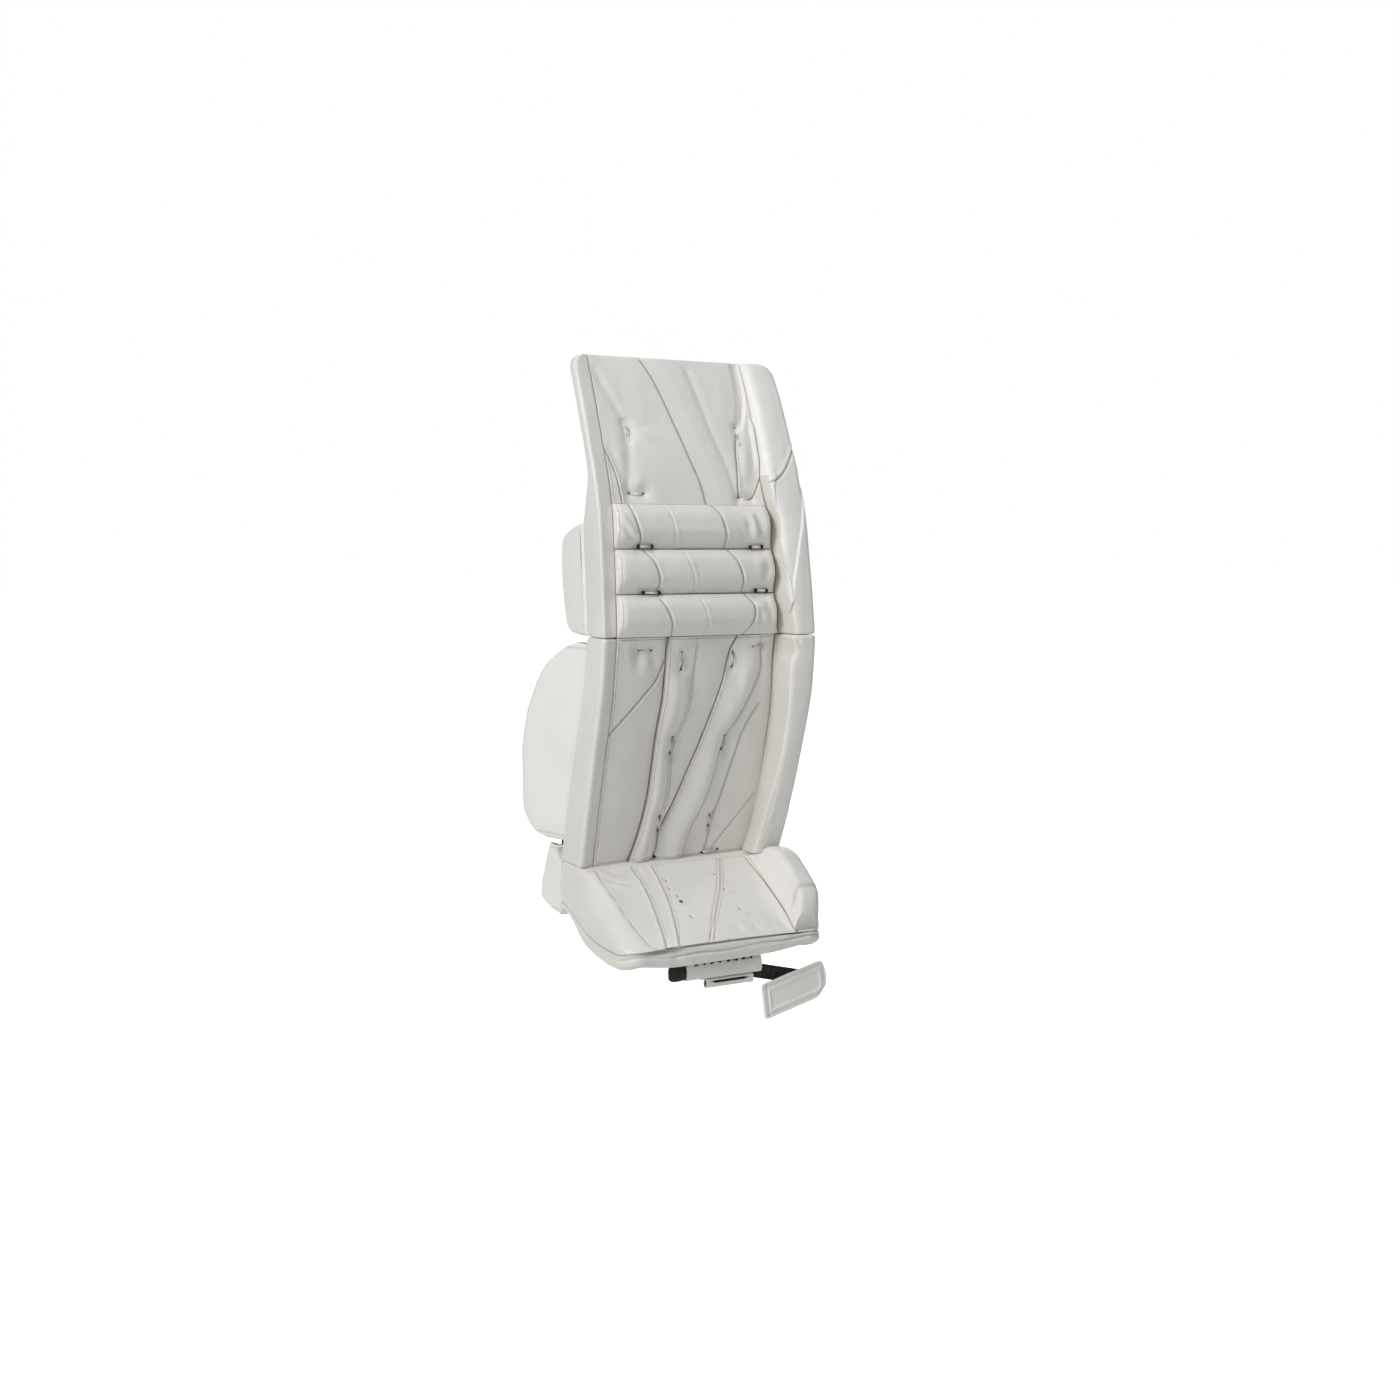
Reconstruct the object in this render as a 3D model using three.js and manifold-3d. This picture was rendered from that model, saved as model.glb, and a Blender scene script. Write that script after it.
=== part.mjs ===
// Leg pad of an ice hockey goalie, for the left leg, standing upright.
// X runs across the pad from its inner edge to its outer edge, -Y is the side that meets the puck,
// +Z is up. The origin is where the shin rests on the pad's back, level with the knee break.
// All sizes are millimetres.
import * as THREE from 'three';
import { mergeVertices } from 'three/addons/utils/BufferGeometryUtils.js';
import Module from 'manifold-3d';

const wasm = await Module();
wasm.setup();

// Driving dimensions
const padWidth = 280;
const thighHeight = 348; // knee break to the top of the thigh rise
const shinHeight = 295; // knee break to the boot break
const kneeDepth = 55; // core and face together at the knee
const ankleDepth = 68;
const thighDepth = 20;
const thighLean = 92; // how far the top leans back from the knee
const shinLean = 79; // how far the ankle lies behind the knee
const seat = 0.4; // clearance between pieces that touch
const cornerRadius = 18;
const edgeWidth = 20; // the inner edge strip and side wall
const outerRollWidth = 36;
const outerRollRise = 34; // how far the outer roll stands proud of the face
const valleyDepth = 9; // how far the seams lie behind the front line
const ribRise = 6;
const panelFall = 7; // how far the inner panel sinks from its edge strip to its seam
const kneeRollHeight = 55;
const kneeRollRise = 17;
const kneeRollCount = 3;

const bootReach = 139; // boot break to the toe, measured forward
const bootDrop = 78; // boot break down to the toe seam
const bootWall = 24;
const bootRise = 46; // the boot's own outer roll
const bootCorner = 28;
const ridgeInset = 18; // the ridge between the boot's roof and its slanted inner side

const kneeBlock = { width: 58, height: 139, depth: 82, edge: 6 };
const calfWing = { height: 261, drop: 8, reach: 104, flare: 34, thickness: 12 };
const ankleFlap = { height: 90, lap: 17, reach: 58, flare: 8, thickness: 9, notch: 14 };
const ankleStrap = { width: 25, thickness: 2.4, lap: 7, reach: 88 };

const toeSleeve = { length: 105, height: 23, depth: 16, wall: 2, setBack: 20 };
const toeCore = { overhang: 22 };
const toeKeeper = { length: 66, height: 12, depth: 10, wall: 1.6, shift: 9, window: 20 };
const toeStrap = {
  width: 19, thickness: 2.2, drop: 6, tail: 26, reach: 142, fall: 30, turn: 5, twist: 2, fold: 22,
};
const toeTab = { length: 95, height: 46, thickness: 4, drop: 52, lap: 3, tilt: 14, edge: 1.2 };

const half = padWidth / 2;
const kneeFront = -kneeDepth;

// How the front line leaves the knee, as shares of the height and of the lean
const thighCurve = [
  { up: 0, back: 0 }, { up: 0.15, back: 0.03 }, { up: 0.29, back: 0.08 }, { up: 0.43, back: 0.15 },
  { up: 0.55, back: 0.27 }, { up: 0.7, back: 0.5 }, { up: 0.87, back: 0.77 }, { up: 1, back: 1 },
];
const shinCurve = [
  { up: 0, back: 0 }, { up: 0.25, back: 0.15 }, { up: 0.48, back: 0.42 },
  { up: 0.78, back: 0.76 }, { up: 1, back: 1 },
];
// How thick the pad is, from the knee's depth (0) to the thigh's or the ankle's (1)
const thighThinning = [
  { up: 0, thin: 0 }, { up: 0.38, thin: 0.02 }, { up: 0.47, thin: 0.4 }, { up: 0.58, thin: 0.95 },
  { up: 0.8, thin: 1 }, { up: 1, thin: 1 },
];
// How proud the outer roll stands along the pad, as a share of its rise
const outerRollSwell = [
  { up: -1, rise: 0.5 }, { up: -0.9, rise: 0.66 }, { up: -0.78, rise: 0.82 }, { up: -0.5, rise: 1 },
  { up: -0.25, rise: 1 }, { up: 0, rise: 0.9 }, { up: 0.25, rise: 0.7 }, { up: 0.45, rise: 0.57 },
  { up: 0.65, rise: 0.43 }, { up: 0.85, rise: 0.3 }, { up: 1, rise: 0.12 },
];

// A smooth curve through a table's rows, read at one value of its first column
function readTable(rows, from, column, value) {
  const last = rows.length - 1;
  let i = 0;
  while (i < last - 1 && value > rows[i + 1][from]) i += 1;
  const slope = (k) => {
    const a = rows[Math.max(k - 1, 0)];
    const b = rows[Math.min(k + 1, last)];
    return (b[column] - a[column]) / (b[from] - a[from]);
  };
  const span = rows[i + 1][from] - rows[i][from];
  const t = Math.min(Math.max((value - rows[i][from]) / span, 0), 1);
  const t2 = t * t;
  const t3 = t2 * t;
  return (
    rows[i][column] * (2 * t3 - 3 * t2 + 1) + slope(i) * span * (t3 - 2 * t2 + t)
    + rows[i + 1][column] * (3 * t2 - 2 * t3) + slope(i + 1) * span * (t3 - t2)
  );
}

// Every piece that touches the core has a row at each of these heights, so that faces match
const rollTops = Array.from({ length: kneeRollCount + 1 }, (_, i) => i * kneeRollHeight - 3);
const thighLevels = [
  seat, ...rollTops.slice(1, -1).flatMap((z) => [z - kneeRollHeight / 2, z]),
  rollTops[kneeRollCount] - kneeRollHeight / 2, rollTops[kneeRollCount],
];
const thighSteps = 5;
for (let i = 1; i <= thighSteps; i += 1) {
  const from = rollTops[kneeRollCount];
  thighLevels.push(from + ((thighHeight - cornerRadius - from) * i) / thighSteps);
}
for (const share of [0.5, 0.8, 1]) thighLevels.push(thighHeight - cornerRadius * (1 - share));
const shinSteps = 9;
const shinLevels = Array.from({ length: shinSteps + 1 }, (_, i) => {
  return -seat - ((shinHeight - seat) * i) / shinSteps;
}).reverse();
const levels = [...shinLevels, ...thighLevels];

function levelsBetween(low, high) {
  const inside = levels.filter((z) => z > low + 0.01 && z < high - 0.01);
  return [low, ...inside, high];
}

// Straight between the levels, so that two pieces cut at other heights still fit each other
function onLevels(curve) {
  const values = levels.map(curve);
  return (z) => {
    let i = 0;
    while (i < levels.length - 2 && z > levels[i + 1]) i += 1;
    const t = (z - levels[i]) / (levels[i + 1] - levels[i]);
    return values[i] + (values[i + 1] - values[i]) * t;
  };
}

const frontAt = onLevels((z) => {
  const lean = z >= 0
    ? thighLean * readTable(thighCurve, 'up', 'back', z / thighHeight)
    : shinLean * readTable(shinCurve, 'up', 'back', -z / shinHeight);
  return kneeFront + lean;
});
const depthAt = onLevels((z) => {
  if (z < 0) return kneeDepth + (ankleDepth - kneeDepth) * Math.min(1, (-z / shinHeight) * 1.4);
  return kneeDepth + (thighDepth - kneeDepth) * readTable(thighThinning, 'up', 'thin', z / thighHeight);
});
const backAt = (z) => frontAt(z) + depthAt(z);
const coreShare = 0.46;
const coreFrontAt = (z) => frontAt(z) + depthAt(z) * coreShare;
const outerRiseAt = onLevels((z) => {
  const up = z >= 0 ? z / thighHeight : z / shinHeight;
  return outerRollRise * readTable(outerRollSwell, 'up', 'rise', up);
});
// The rounded upper corners, as the distance that the sides draw in
const cornerInset = onLevels((z) => {
  const rise = Math.max(0, z - (thighHeight - cornerRadius));
  return cornerRadius - Math.sqrt(cornerRadius ** 2 - Math.min(rise, cornerRadius * 0.94) ** 2);
});

// A closed body from rings with the same number of points, each end closed round its middle
function loft(rings) {
  const count = rings[0].length;
  const position = [];
  const index = [];
  for (const ring of rings) for (const p of ring) position.push(...p);
  for (const end of [rings[0], rings[rings.length - 1]]) {
    const middle = [0, 1, 2].map((k) => end.reduce((sum, p) => sum + p[k], 0) / count);
    position.push(...middle);
  }
  for (let r = 0; r + 1 < rings.length; r += 1) {
    for (let i = 0; i < count; i += 1) {
      const a = r * count + i;
      const b = r * count + ((i + 1) % count);
      index.push(a, b, b + count, a, b + count, a + count);
    }
  }
  const firstMiddle = rings.length * count;
  const lastRing = (rings.length - 1) * count;
  for (let i = 0; i < count; i += 1) {
    const next = (i + 1) % count;
    index.push(firstMiddle, next, i, firstMiddle + 1, lastRing + i, lastRing + next);
  }
  return outward(position, index);
}

// Turns the faces round if they point inwards
function outward(position, index) {
  let volume = 0;
  const corner = (i) => new THREE.Vector3().fromArray(position, index[i] * 3);
  for (let i = 0; i < index.length; i += 3) {
    volume += corner(i).dot(corner(i + 1).cross(corner(i + 2)));
  }
  if (volume < 0) {
    for (let i = 0; i < index.length; i += 3) [index[i], index[i + 1]] = [index[i + 1], index[i]];
  }
  const geometry = new THREE.BufferGeometry();
  geometry.setAttribute('position', new THREE.Float32BufferAttribute(position, 3));
  geometry.setIndex(index);
  geometry.computeVertexNormals();
  return geometry;
}

function toSolid(geometry) {
  const bare = geometry.clone();
  bare.deleteAttribute('normal');
  bare.deleteAttribute('uv');
  const merged = mergeVertices(bare, 1e-4);
  return new wasm.Manifold(new wasm.Mesh({
    numProp: 3,
    vertProperties: new Float32Array(merged.attributes.position.array),
    triVerts: new Uint32Array(merged.index.array),
  }));
}

function toGeometry(solid) {
  const mesh = solid.getMesh();
  const geometry = new THREE.BufferGeometry();
  geometry.setAttribute('position', new THREE.Float32BufferAttribute(mesh.vertProperties, 3));
  geometry.setIndex(Array.from(mesh.triVerts));
  geometry.computeVertexNormals();
  return geometry;
}

// Cores: the foam slabs behind the faces
function core(low, high) {
  return loft(levelsBetween(low, high).map((z) => {
    const right = half - cornerInset(z);
    const left = -half + edgeWidth + seat / 2;
    const front = coreFrontAt(z);
    const back = backAt(z);
    const bevel = Math.min(6, depthAt(z) * 0.2);
    return [
      [left, front, z], [right, front, z], [right, back - bevel, z], [right - bevel, back, z],
      [left, back, z],
    ];
  }));
}

// The inner edge: side wall and front strip in one, with rounded corners
function innerEdge(low, high) {
  return loft(levelsBetween(low, high).map((z) => {
    const outside = -half + cornerInset(z);
    const inside = Math.max(-half + edgeWidth - seat / 2, outside + 1);
    const front = frontAt(z);
    const back = backAt(z);
    const soft = Math.min(5, depthAt(z) * 0.2);
    return [
      [inside, back, z], [outside + soft, back, z], [outside, back - soft, z],
      [outside, front + soft, z], [outside + soft * 0.4, front + soft * 0.4, z],
      [outside + soft, front, z], [inside, front + valleyDepth - panelFall + 2, z],
    ];
  }));
}

// A padded panel between two seams. skin gives how far behind the front line it lies, at a share
// of its width from 0 to 1.
function facePanel({ low, high, left, right, skin, columns }) {
  return loft(levelsBetween(low, high).map((z) => {
    const base = coreFrontAt(z) - seat;
    const x0 = left(z) + seat / 2;
    const x1 = right(z) - seat / 2;
    const front = Array.from({ length: columns + 1 }, (_, i) => {
      const share = i / columns;
      const y = Math.min(frontAt(z) + skin(share, z), base - 1.5);
      return [x0 + (x1 - x0) * share, y, z];
    });
    return [[x0, base, z], ...front, [x1, base, z]];
  }));
}

// The crown of a padded panel: 0 at its seams, 1 in its middle
const crown = (share, sharpness = 2) => 1 - Math.abs(2 * share - 1) ** sharpness;

// Seams across the face, as shares of half the width, from the pad's middle
const seamRows = {
  kneeLine: [{ up: -1, x: -0.5 }, { up: -0.87, x: -0.43 }, { up: -0.7, x: -0.39 }, { up: 0, x: -0.36 }],
  ribLine: [{ up: -1, x: -0.28 }, { up: -0.8, x: -0.22 }, { up: -0.5, x: -0.2 }, { up: -0.3, x: -0.11 },
    { up: 0, x: -0.06 }],
  crossLine: [{ up: -1, x: -0.26 }, { up: -0.87, x: -0.2 }, { up: -0.5, x: 0.05 }, { up: 0, x: 0.31 }],
  outerLine: [{ up: -1, x: 0.04 }, { up: -0.75, x: 0.21 }, { up: -0.5, x: 0.31 }, { up: -0.25, x: 0.5 },
    { up: 0, x: 0.59 }],
};
const seam = (name) => onLevels((z) => {
  return half * readTable(seamRows[name], 'up', 'x', Math.min(0, z / shinHeight));
});
const kneeLine = seam('kneeLine');
const ribLine = seam('ribLine');
const crossSeam = seam('crossLine');
const crossLine = (z) => Math.max(crossSeam(z), ribLine(z) + 3);
const outerLine = seam('outerLine');
const edgeLine = () => -half + edgeWidth;
const rollLine = () => half - outerRollWidth;

// Laces pull the shin's ribs in at three heights
const tieHeights = [-0.1, -0.47, -0.83].map((share) => share * shinHeight);
const tieDepth = 5;
const tieReach = 22;
const tiePull = (z) => tieHeights.reduce((pull, at) => {
  return pull + tieDepth * Math.exp(-(((z - at) / tieReach) ** 2));
}, 0);

// The thigh's face has a valley at its outer lace and a soft fold on its inner side
const thighValley = 0.89;
const thighFold = 0.1;
function thighSkin(share, z) {
  const valley = Math.exp(-(((share - thighValley) / 0.07) ** 2));
  const fold = Math.exp(-(((share - thighFold) / 0.07) ** 2));
  const foot = rollTops[kneeRollCount];
  const reach = Math.sin((Math.PI * (z - foot)) / (thighHeight - foot));
  return valleyDepth * 0.45 - 3.5 * crown(share, 4) + (5 * valley - 2 * fold) * reach;
}

// A knee roll's section, from its upper seam down: a quick rise, a flat front and a drawn-in underside
const rollSection = [
  { down: 0, swell: 0 }, { down: 0.05, swell: 0.5 }, { down: 0.13, swell: 0.82 },
  { down: 0.27, swell: 1 }, { down: 0.55, swell: 1 }, { down: 0.73, swell: 0.93 },
  { down: 0.86, swell: 0.68 }, { down: 0.95, swell: 0.32 }, { down: 1, swell: 0 },
];

function kneeRoll(number) {
  const low = (number === 0 ? seat : rollTops[number]) + seat / 2;
  const high = rollTops[number + 1] - seat / 2;
  const left = edgeLine() + seat / 2;
  const right = rollLine() - seat / 2;
  const pinch = [
    { at: 0, full: 0.45 }, { at: 0.05, full: 0.75 }, { at: 0.14, full: 0.95 }, { at: 0.3, full: 1 },
    { at: 0.75, full: 1 }, { at: 0.92, full: 0.9 }, { at: 1, full: 0.55 },
  ];
  return loft(pinch.map(({ at, full }) => {
    const x = left + (right - left) * at;
    const base = levelsBetween(low, high).map((z) => [x, coreFrontAt(z) - seat, z]);
    const arc = rollSection.map(({ down, swell }) => {
      const z = high + (low - high) * down;
      return [x, frontAt(z) + valleyDepth - 2 - kneeRollRise * full * swell, z];
    });
    return [...base, ...arc];
  }));
}

function thighFace() {
  return facePanel({
    low: rollTops[kneeRollCount] + seat / 2,
    high: thighHeight,
    left: edgeLine,
    right: rollLine,
    skin: thighSkin,
    columns: 14,
  });
}

// The outer roll: a bar along the outer edge with a steep inner wall
function outerRoll(low, high) {
  return loft(levelsBetween(low, high).map((z) => {
    const base = coreFrontAt(z) - seat;
    const right = half - cornerInset(z);
    const left = rollLine() + seat / 2;
    const top = Math.min(frontAt(z) - outerRiseAt(z), base - 3);
    const soft = Math.min(9, (base - top) * 0.3);
    return [
      [left, base, z], [left, top + soft * 0.7, z], [left + soft * 0.2, top + soft * 0.2, z],
      [left + soft * 0.6, top, z], [right - soft, top + soft * 0.05, z],
      [right - soft * 0.25, top + soft * 0.6, z], [right, top + soft * 1.5, z],
      [right, base, z],
    ];
  }));
}

function shinPanels() {
  const low = -shinHeight;
  const high = -seat;
  const ribs = (share, z) => valleyDepth - ribRise * crown(share ** 0.75, 2.4) + tiePull(z) * crown(share);
  return {
    shin_panel_inner: facePanel({
      low, high, left: edgeLine, right: kneeLine, columns: 5,
      skin: (s) => valleyDepth + 3 - panelFall * (1 - s) - crown(s),
    }),
    shin_rib_inner: facePanel({ low, high, left: kneeLine, right: ribLine, columns: 6, skin: ribs }),
    shin_panel_middle: facePanel({
      low, high, left: ribLine, right: crossLine, columns: 3,
      skin: (s) => valleyDepth + 2.5 * s - crown(s),
    }),
    shin_rib_outer: facePanel({ low, high, left: crossLine, right: outerLine, columns: 6, skin: ribs }),
    shin_panel_outer: facePanel({
      low, high, left: outerLine, right: rollLine, columns: 4,
      skin: (s) => valleyDepth + 4 * s - crown(s),
    }),
  };
}

// Boot: a sloping roof with two side walls and a toe wall, hollow below and behind for the skate.
// out is 0 at the boot break and 1 at the toe, and the drops are shares of the boot's own drop.
const bootBreak = frontAt(-shinHeight);
const bootBack = backAt(-shinHeight);
const bootTop = -shinHeight - seat;
const backOut = (bootBreak - bootBack) / bootReach;
const bootRows = [
  { out: backOut, roof: 0, seam: 0.69, rim: 0.81, inset: 0 },
  { out: -0.25, roof: 0, seam: 0.79, rim: 0.91, inset: 0 },
  { out: 0, roof: 0, seam: 0.95, rim: 1.18, inset: 0 },
  { out: 0.18, roof: 0.19, seam: 1.04, rim: 1.28, inset: 0 },
  { out: 0.5, roof: 0.5, seam: 1.09, rim: 1.34, inset: 0 },
  { out: 0.8, roof: 0.79, seam: 1.08, rim: 1.33, inset: 0 },
  { out: 0.88, roof: 0.87, seam: 1.06, rim: 1.31, inset: 0.08 },
  { out: 0.94, roof: 0.93, seam: 1.03, rim: 1.29, inset: 0.29 },
  { out: 0.98, roof: 0.97, seam: 1.01, rim: 1.26, inset: 0.56 },
  { out: 1, roof: 0.995, seam: 1, rim: 1.24, inset: 1 },
];
const bootY = (out) => bootBreak - bootReach * out;
const bootZ = (share) => bootTop - bootDrop * share;
const rimAt = (out) => bootZ(straight(bootRows, 'out', 'rim', out));

// A table read in straight lines between its rows
function straight(rows, from, column, value) {
  let i = 0;
  while (i < rows.length - 2 && value > rows[i + 1][from]) i += 1;
  const t = (value - rows[i][from]) / (rows[i + 1][from] - rows[i][from]);
  return rows[i][column] + (rows[i + 1][column] - rows[i][column]) * t;
}

function bootOutside() {
  return toSolid(loft(bootRows.map(({ out, roof, seam: seamDrop, rim, inset }) => {
    const y = bootY(out);
    const side = half - bootCorner * inset;
    const slant = ridgeInset * Math.min(1, Math.max(0.25, 0.4 + out * 1.4));
    const top = bootZ(roof);
    const seamZ = bootZ(Math.max(seamDrop, roof));
    const middle = top + (seamZ - top) * 0.4;
    return [
      [-side, y, bootZ(rim)], [-side, y, seamZ], [-side + slant * 0.2, y, middle],
      [-side + slant, y, top], [side - 2, y, top], [side, y, top - 2], [side, y, bootZ(rim)],
    ];
  })));
}

function bootHollow() {
  const rows = bootRows.filter(({ out }) => out < 1 - bootWall / bootReach);
  const rings = rows.map(({ out, roof }, i) => {
    const y = i === 0 ? bootBack + 5 : bootY(out);
    return { y, top: bootZ(roof) - bootWall };
  });
  const front = 1 - bootWall / bootReach;
  rings.push({ y: bootY(front), top: bootZ(straight(bootRows, 'out', 'roof', front)) - bootWall });
  const side = half - bootWall;
  const bottom = bootZ(2);
  return toSolid(loft(rings.map(({ y, top }) => [
    [-side, y, bottom], [-side, y, top - 6], [-side + 8, y, top], [side - 8, y, top],
    [side, y, top - 6], [side, y, bottom],
  ])));
}

// Everything below the hem's seam, lifted by some clearance
function belowSeam(lift) {
  return toSolid(loft(bootRows.map(({ seam: seamDrop }, i) => {
    const overshoot = i === 0 ? 5 : i === bootRows.length - 1 ? -5 : 0;
    const y = bootY(bootRows[i].out) + overshoot;
    const top = bootZ(seamDrop) + lift;
    return [[-padWidth, y, bootZ(3)], [-padWidth, y, top], [padWidth, y, top], [padWidth, y, bootZ(3)]];
  })));
}

function bootAndHem() {
  const shell = bootOutside().subtract(bootHollow());
  return {
    boot: toGeometry(shell.subtract(belowSeam(seat / 2))),
    boot_hem: toGeometry(shell.intersect(belowSeam(-seat / 2))),
  };
}

const bootRollRows = [
  { out: 0.06, rise: 0.07 }, { out: 0.15, rise: 0.2 }, { out: 0.2, rise: 0.5 }, { out: 0.33, rise: 0.84 },
  { out: 0.5, rise: 1 }, { out: 0.68, rise: 0.93 }, { out: 0.85, rise: 0.85 }, { out: 0.94, rise: 0.8 },
  { out: 0.985, rise: 0.6 },
];
function bootOuterRoll() {
  return loft(bootRollRows.map(({ out, rise }) => {
    const y = bootY(out);
    const base = bootZ(straight(bootRows, 'out', 'roof', out)) + seat;
    const right = half - 2 - bootCorner * straight(bootRows, 'out', 'inset', out);
    const left = rollLine() - 4;
    const top = base + bootRise * rise;
    const soft = Math.min(10, bootRise * rise * 0.5);
    return [
      [left, y, base], [left + (right - left) * 0.15, y, top - soft],
      [left + (right - left) * 0.4, y, top], [right - soft * 0.6, y, top], [right, y, top - soft * 0.6],
      [right, y, base],
    ];
  }));
}

// The knee block stands on the back of the upper core and inner edge
const blockOutline = [
  { back: 0, up: 0 }, { back: 0.4, up: 0 }, { back: 0.7, up: 0.02 }, { back: 0.82, up: 0.07 },
  { back: 0.93, up: 0.28 }, { back: 1, up: 0.54 }, { back: 0.99, up: 0.85 }, { back: 0.82, up: 0.91 },
  { back: 0.35, up: 0.98 }, { back: 0, up: 1 },
];
function kneeBlockBody() {
  const base = 1;
  const seatRows = levelsBetween(base, base + kneeBlock.height).reverse();
  const rows = [
    { x: 0, inset: 1 }, { x: kneeBlock.edge * 0.4, inset: 0.35 }, { x: kneeBlock.edge, inset: 0 },
    { x: kneeBlock.width - kneeBlock.edge, inset: 0 }, { x: kneeBlock.width, inset: 1 },
  ];
  return loft(rows.map(({ x, inset }) => {
    const outline = blockOutline.map(({ back, up }) => {
      const shrink = kneeBlock.edge * inset * Math.min(1, back * 3);
      const z = base + shrink + (kneeBlock.height - 2 * shrink) * up;
      const from = backAt(z) + seat;
      return [x - half, from + (kneeBlock.depth - shrink - from) * back, z];
    });
    const seatPoints = seatRows.slice(1, -1).map((z) => [x - half, backAt(z) + seat, z]);
    return [...outline, ...seatPoints];
  }));
}

// A flap that leaves the pad's back at an edge and flares outwards. side is -1 for the inner edge.
function flap({ rows, thickness, side }) {
  return loft(rows.map(({ z, root, reach, flare }) => {
    const steps = [0, 0.3, 0.65, 0.93, 1];
    const soften = [0, 0, 0, 0.12, 0.4];
    const at = (share, offset) => [
      side * (half + flare * share - offset), root + reach * share, z,
    ];
    const outer = steps.map((share, i) => at(share, thickness * soften[i]));
    const inner = steps.map((share, i) => at(share, thickness * (1 - soften[i]))).reverse();
    return [...outer, ...inner];
  }));
}

const wingRows = [
  { down: 0, reach: 0.2 }, { down: 0.024, reach: 0.4 }, { down: 0.126, reach: 0.75 },
  { down: 0.304, reach: 0.96 }, { down: 0.518, reach: 1 }, { down: 0.727, reach: 0.91 },
  { down: 0.86, reach: 0.84 }, { down: 0.93, reach: 0.72 }, { down: 0.98, reach: 0.56 },
  { down: 1, reach: 0.38 },
];
function calfWingBody(side) {
  const top = -calfWing.drop;
  const low = top - calfWing.height;
  const heights = [...levelsBetween(low, top), ...wingRows.map(({ down }) => top - calfWing.height * down)];
  const sorted = [...new Set(heights.map((z) => Number(z.toFixed(3))))].sort((a, b) => a - b);
  const rows = sorted.filter((z, i) => i === 0 || z - sorted[i - 1] > 1.5 || i === sorted.length - 1);
  return flap({
    side,
    thickness: calfWing.thickness,
    rows: rows.map((z) => {
      const share = readTable(wingRows, 'down', 'reach', (top - z) / calfWing.height);
      return { z, root: backAt(z) + seat, reach: calfWing.reach * share, flare: calfWing.flare * share };
    }),
  });
}

const flapRows = [
  { down: 0, notch: 1, reach: 0.58 }, { down: 0.14, notch: 0.9, reach: 0.66 },
  { down: 0.2, notch: 0, reach: 0.71 }, { down: 0.47, notch: 0, reach: 0.86 },
  { down: 0.83, notch: 0, reach: 1 }, { down: 0.93, notch: 0, reach: 0.7 },
  { down: 1, notch: 0, reach: 0.25 },
];
function ankleFlapBody() {
  return flap({
    side: -1,
    thickness: ankleFlap.thickness,
    rows: flapRows.map(({ down, notch, reach }) => {
      const start = notch * ankleFlap.notch + seat;
      return {
        z: ankleFlap.lap - shinHeight - ankleFlap.height * down,
        root: bootBack + start,
        reach: ankleFlap.reach * reach - start,
        flare: ankleFlap.flare * reach,
      };
    }).reverse(),
  });
}

// A flat band that follows a path with its width upright. Each point is [x, y, z of its middle].
function band(path, width, thickness) {
  return loft(path.map(([x, y, z], i) => {
    const before = path[Math.max(i - 1, 0)];
    const after = path[Math.min(i + 1, path.length - 1)];
    const along = new THREE.Vector2(after[0] - before[0], after[1] - before[1]).normalize();
    const [nx, ny] = [-along.y * thickness / 2, along.x * thickness / 2];
    return [
      [x - nx, y - ny, z - width / 2], [x + nx, y + ny, z - width / 2],
      [x + nx, y + ny, z + width / 2], [x - nx, y - ny, z + width / 2],
    ];
  }));
}

// Half of the strap's way round the heel, as shares of half the pad's width and of its reach
const ankleStrapWay = [
  { x: 0.84, back: 0 }, { x: 0.87, back: 0.25 }, { x: 0.84, back: 0.55 }, { x: 0.72, back: 0.8 },
  { x: 0.5, back: 0.93 }, { x: 0.25, back: 0.99 },
];
function ankleStrapBody() {
  const at = ({ x, back }, side) => [
    side * half * x, bootBack + seat + ankleStrap.reach * back, ankleStrap.lap - shinHeight,
  ];
  const left = ankleStrapWay.map((row) => at(row, -1));
  const right = ankleStrapWay.map((row) => at(row, 1)).reverse();
  return band([...left, at({ x: 0, back: 1 }, 1), ...right], ankleStrap.width, ankleStrap.thickness);
}

// Toe attachment, hung under the hem at the front
const toeY = bootY(1) + toeSleeve.setBack;
const toeTop = rimAt((bootBreak - (toeY - toeSleeve.depth / 2)) / bootReach) - seat - 1.6;
const toeMiddle = toeTop - toeSleeve.height / 2;

function roundBar({ from, to, y, z, height, depth, steps = 16 }) {
  return loft([from, to].map((x) => Array.from({ length: steps }, (_, i) => {
    const turn = (2 * Math.PI * (i + 0.5)) / steps;
    const square = (v) => Math.sign(v) * Math.abs(v) ** 0.8;
    return [x, y + (depth / 2) * square(Math.cos(turn)), z + (height / 2) * square(Math.sin(turn))];
  })));
}

function toeSleeveBody() {
  const { length, height, depth, wall } = toeSleeve;
  const bar = { y: toeY, z: toeMiddle, height, depth };
  const bore = { ...bar, height: height - 2 * wall, depth: depth - 2 * wall };
  const outside = toSolid(roundBar({ ...bar, from: -length / 2, to: length / 2 }));
  return toGeometry(outside.subtract(toSolid(roundBar({ ...bore, from: -length, to: length }))));
}

function toeCoreBody() {
  const { length, height, depth, wall } = toeSleeve;
  return roundBar({
    from: -length / 2 - toeCore.overhang, to: length / 2 - 4, y: toeY, z: toeMiddle,
    height: height - 2 * wall - 2 * seat, depth: depth - 2 * wall - 2 * seat,
  });
}

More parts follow.
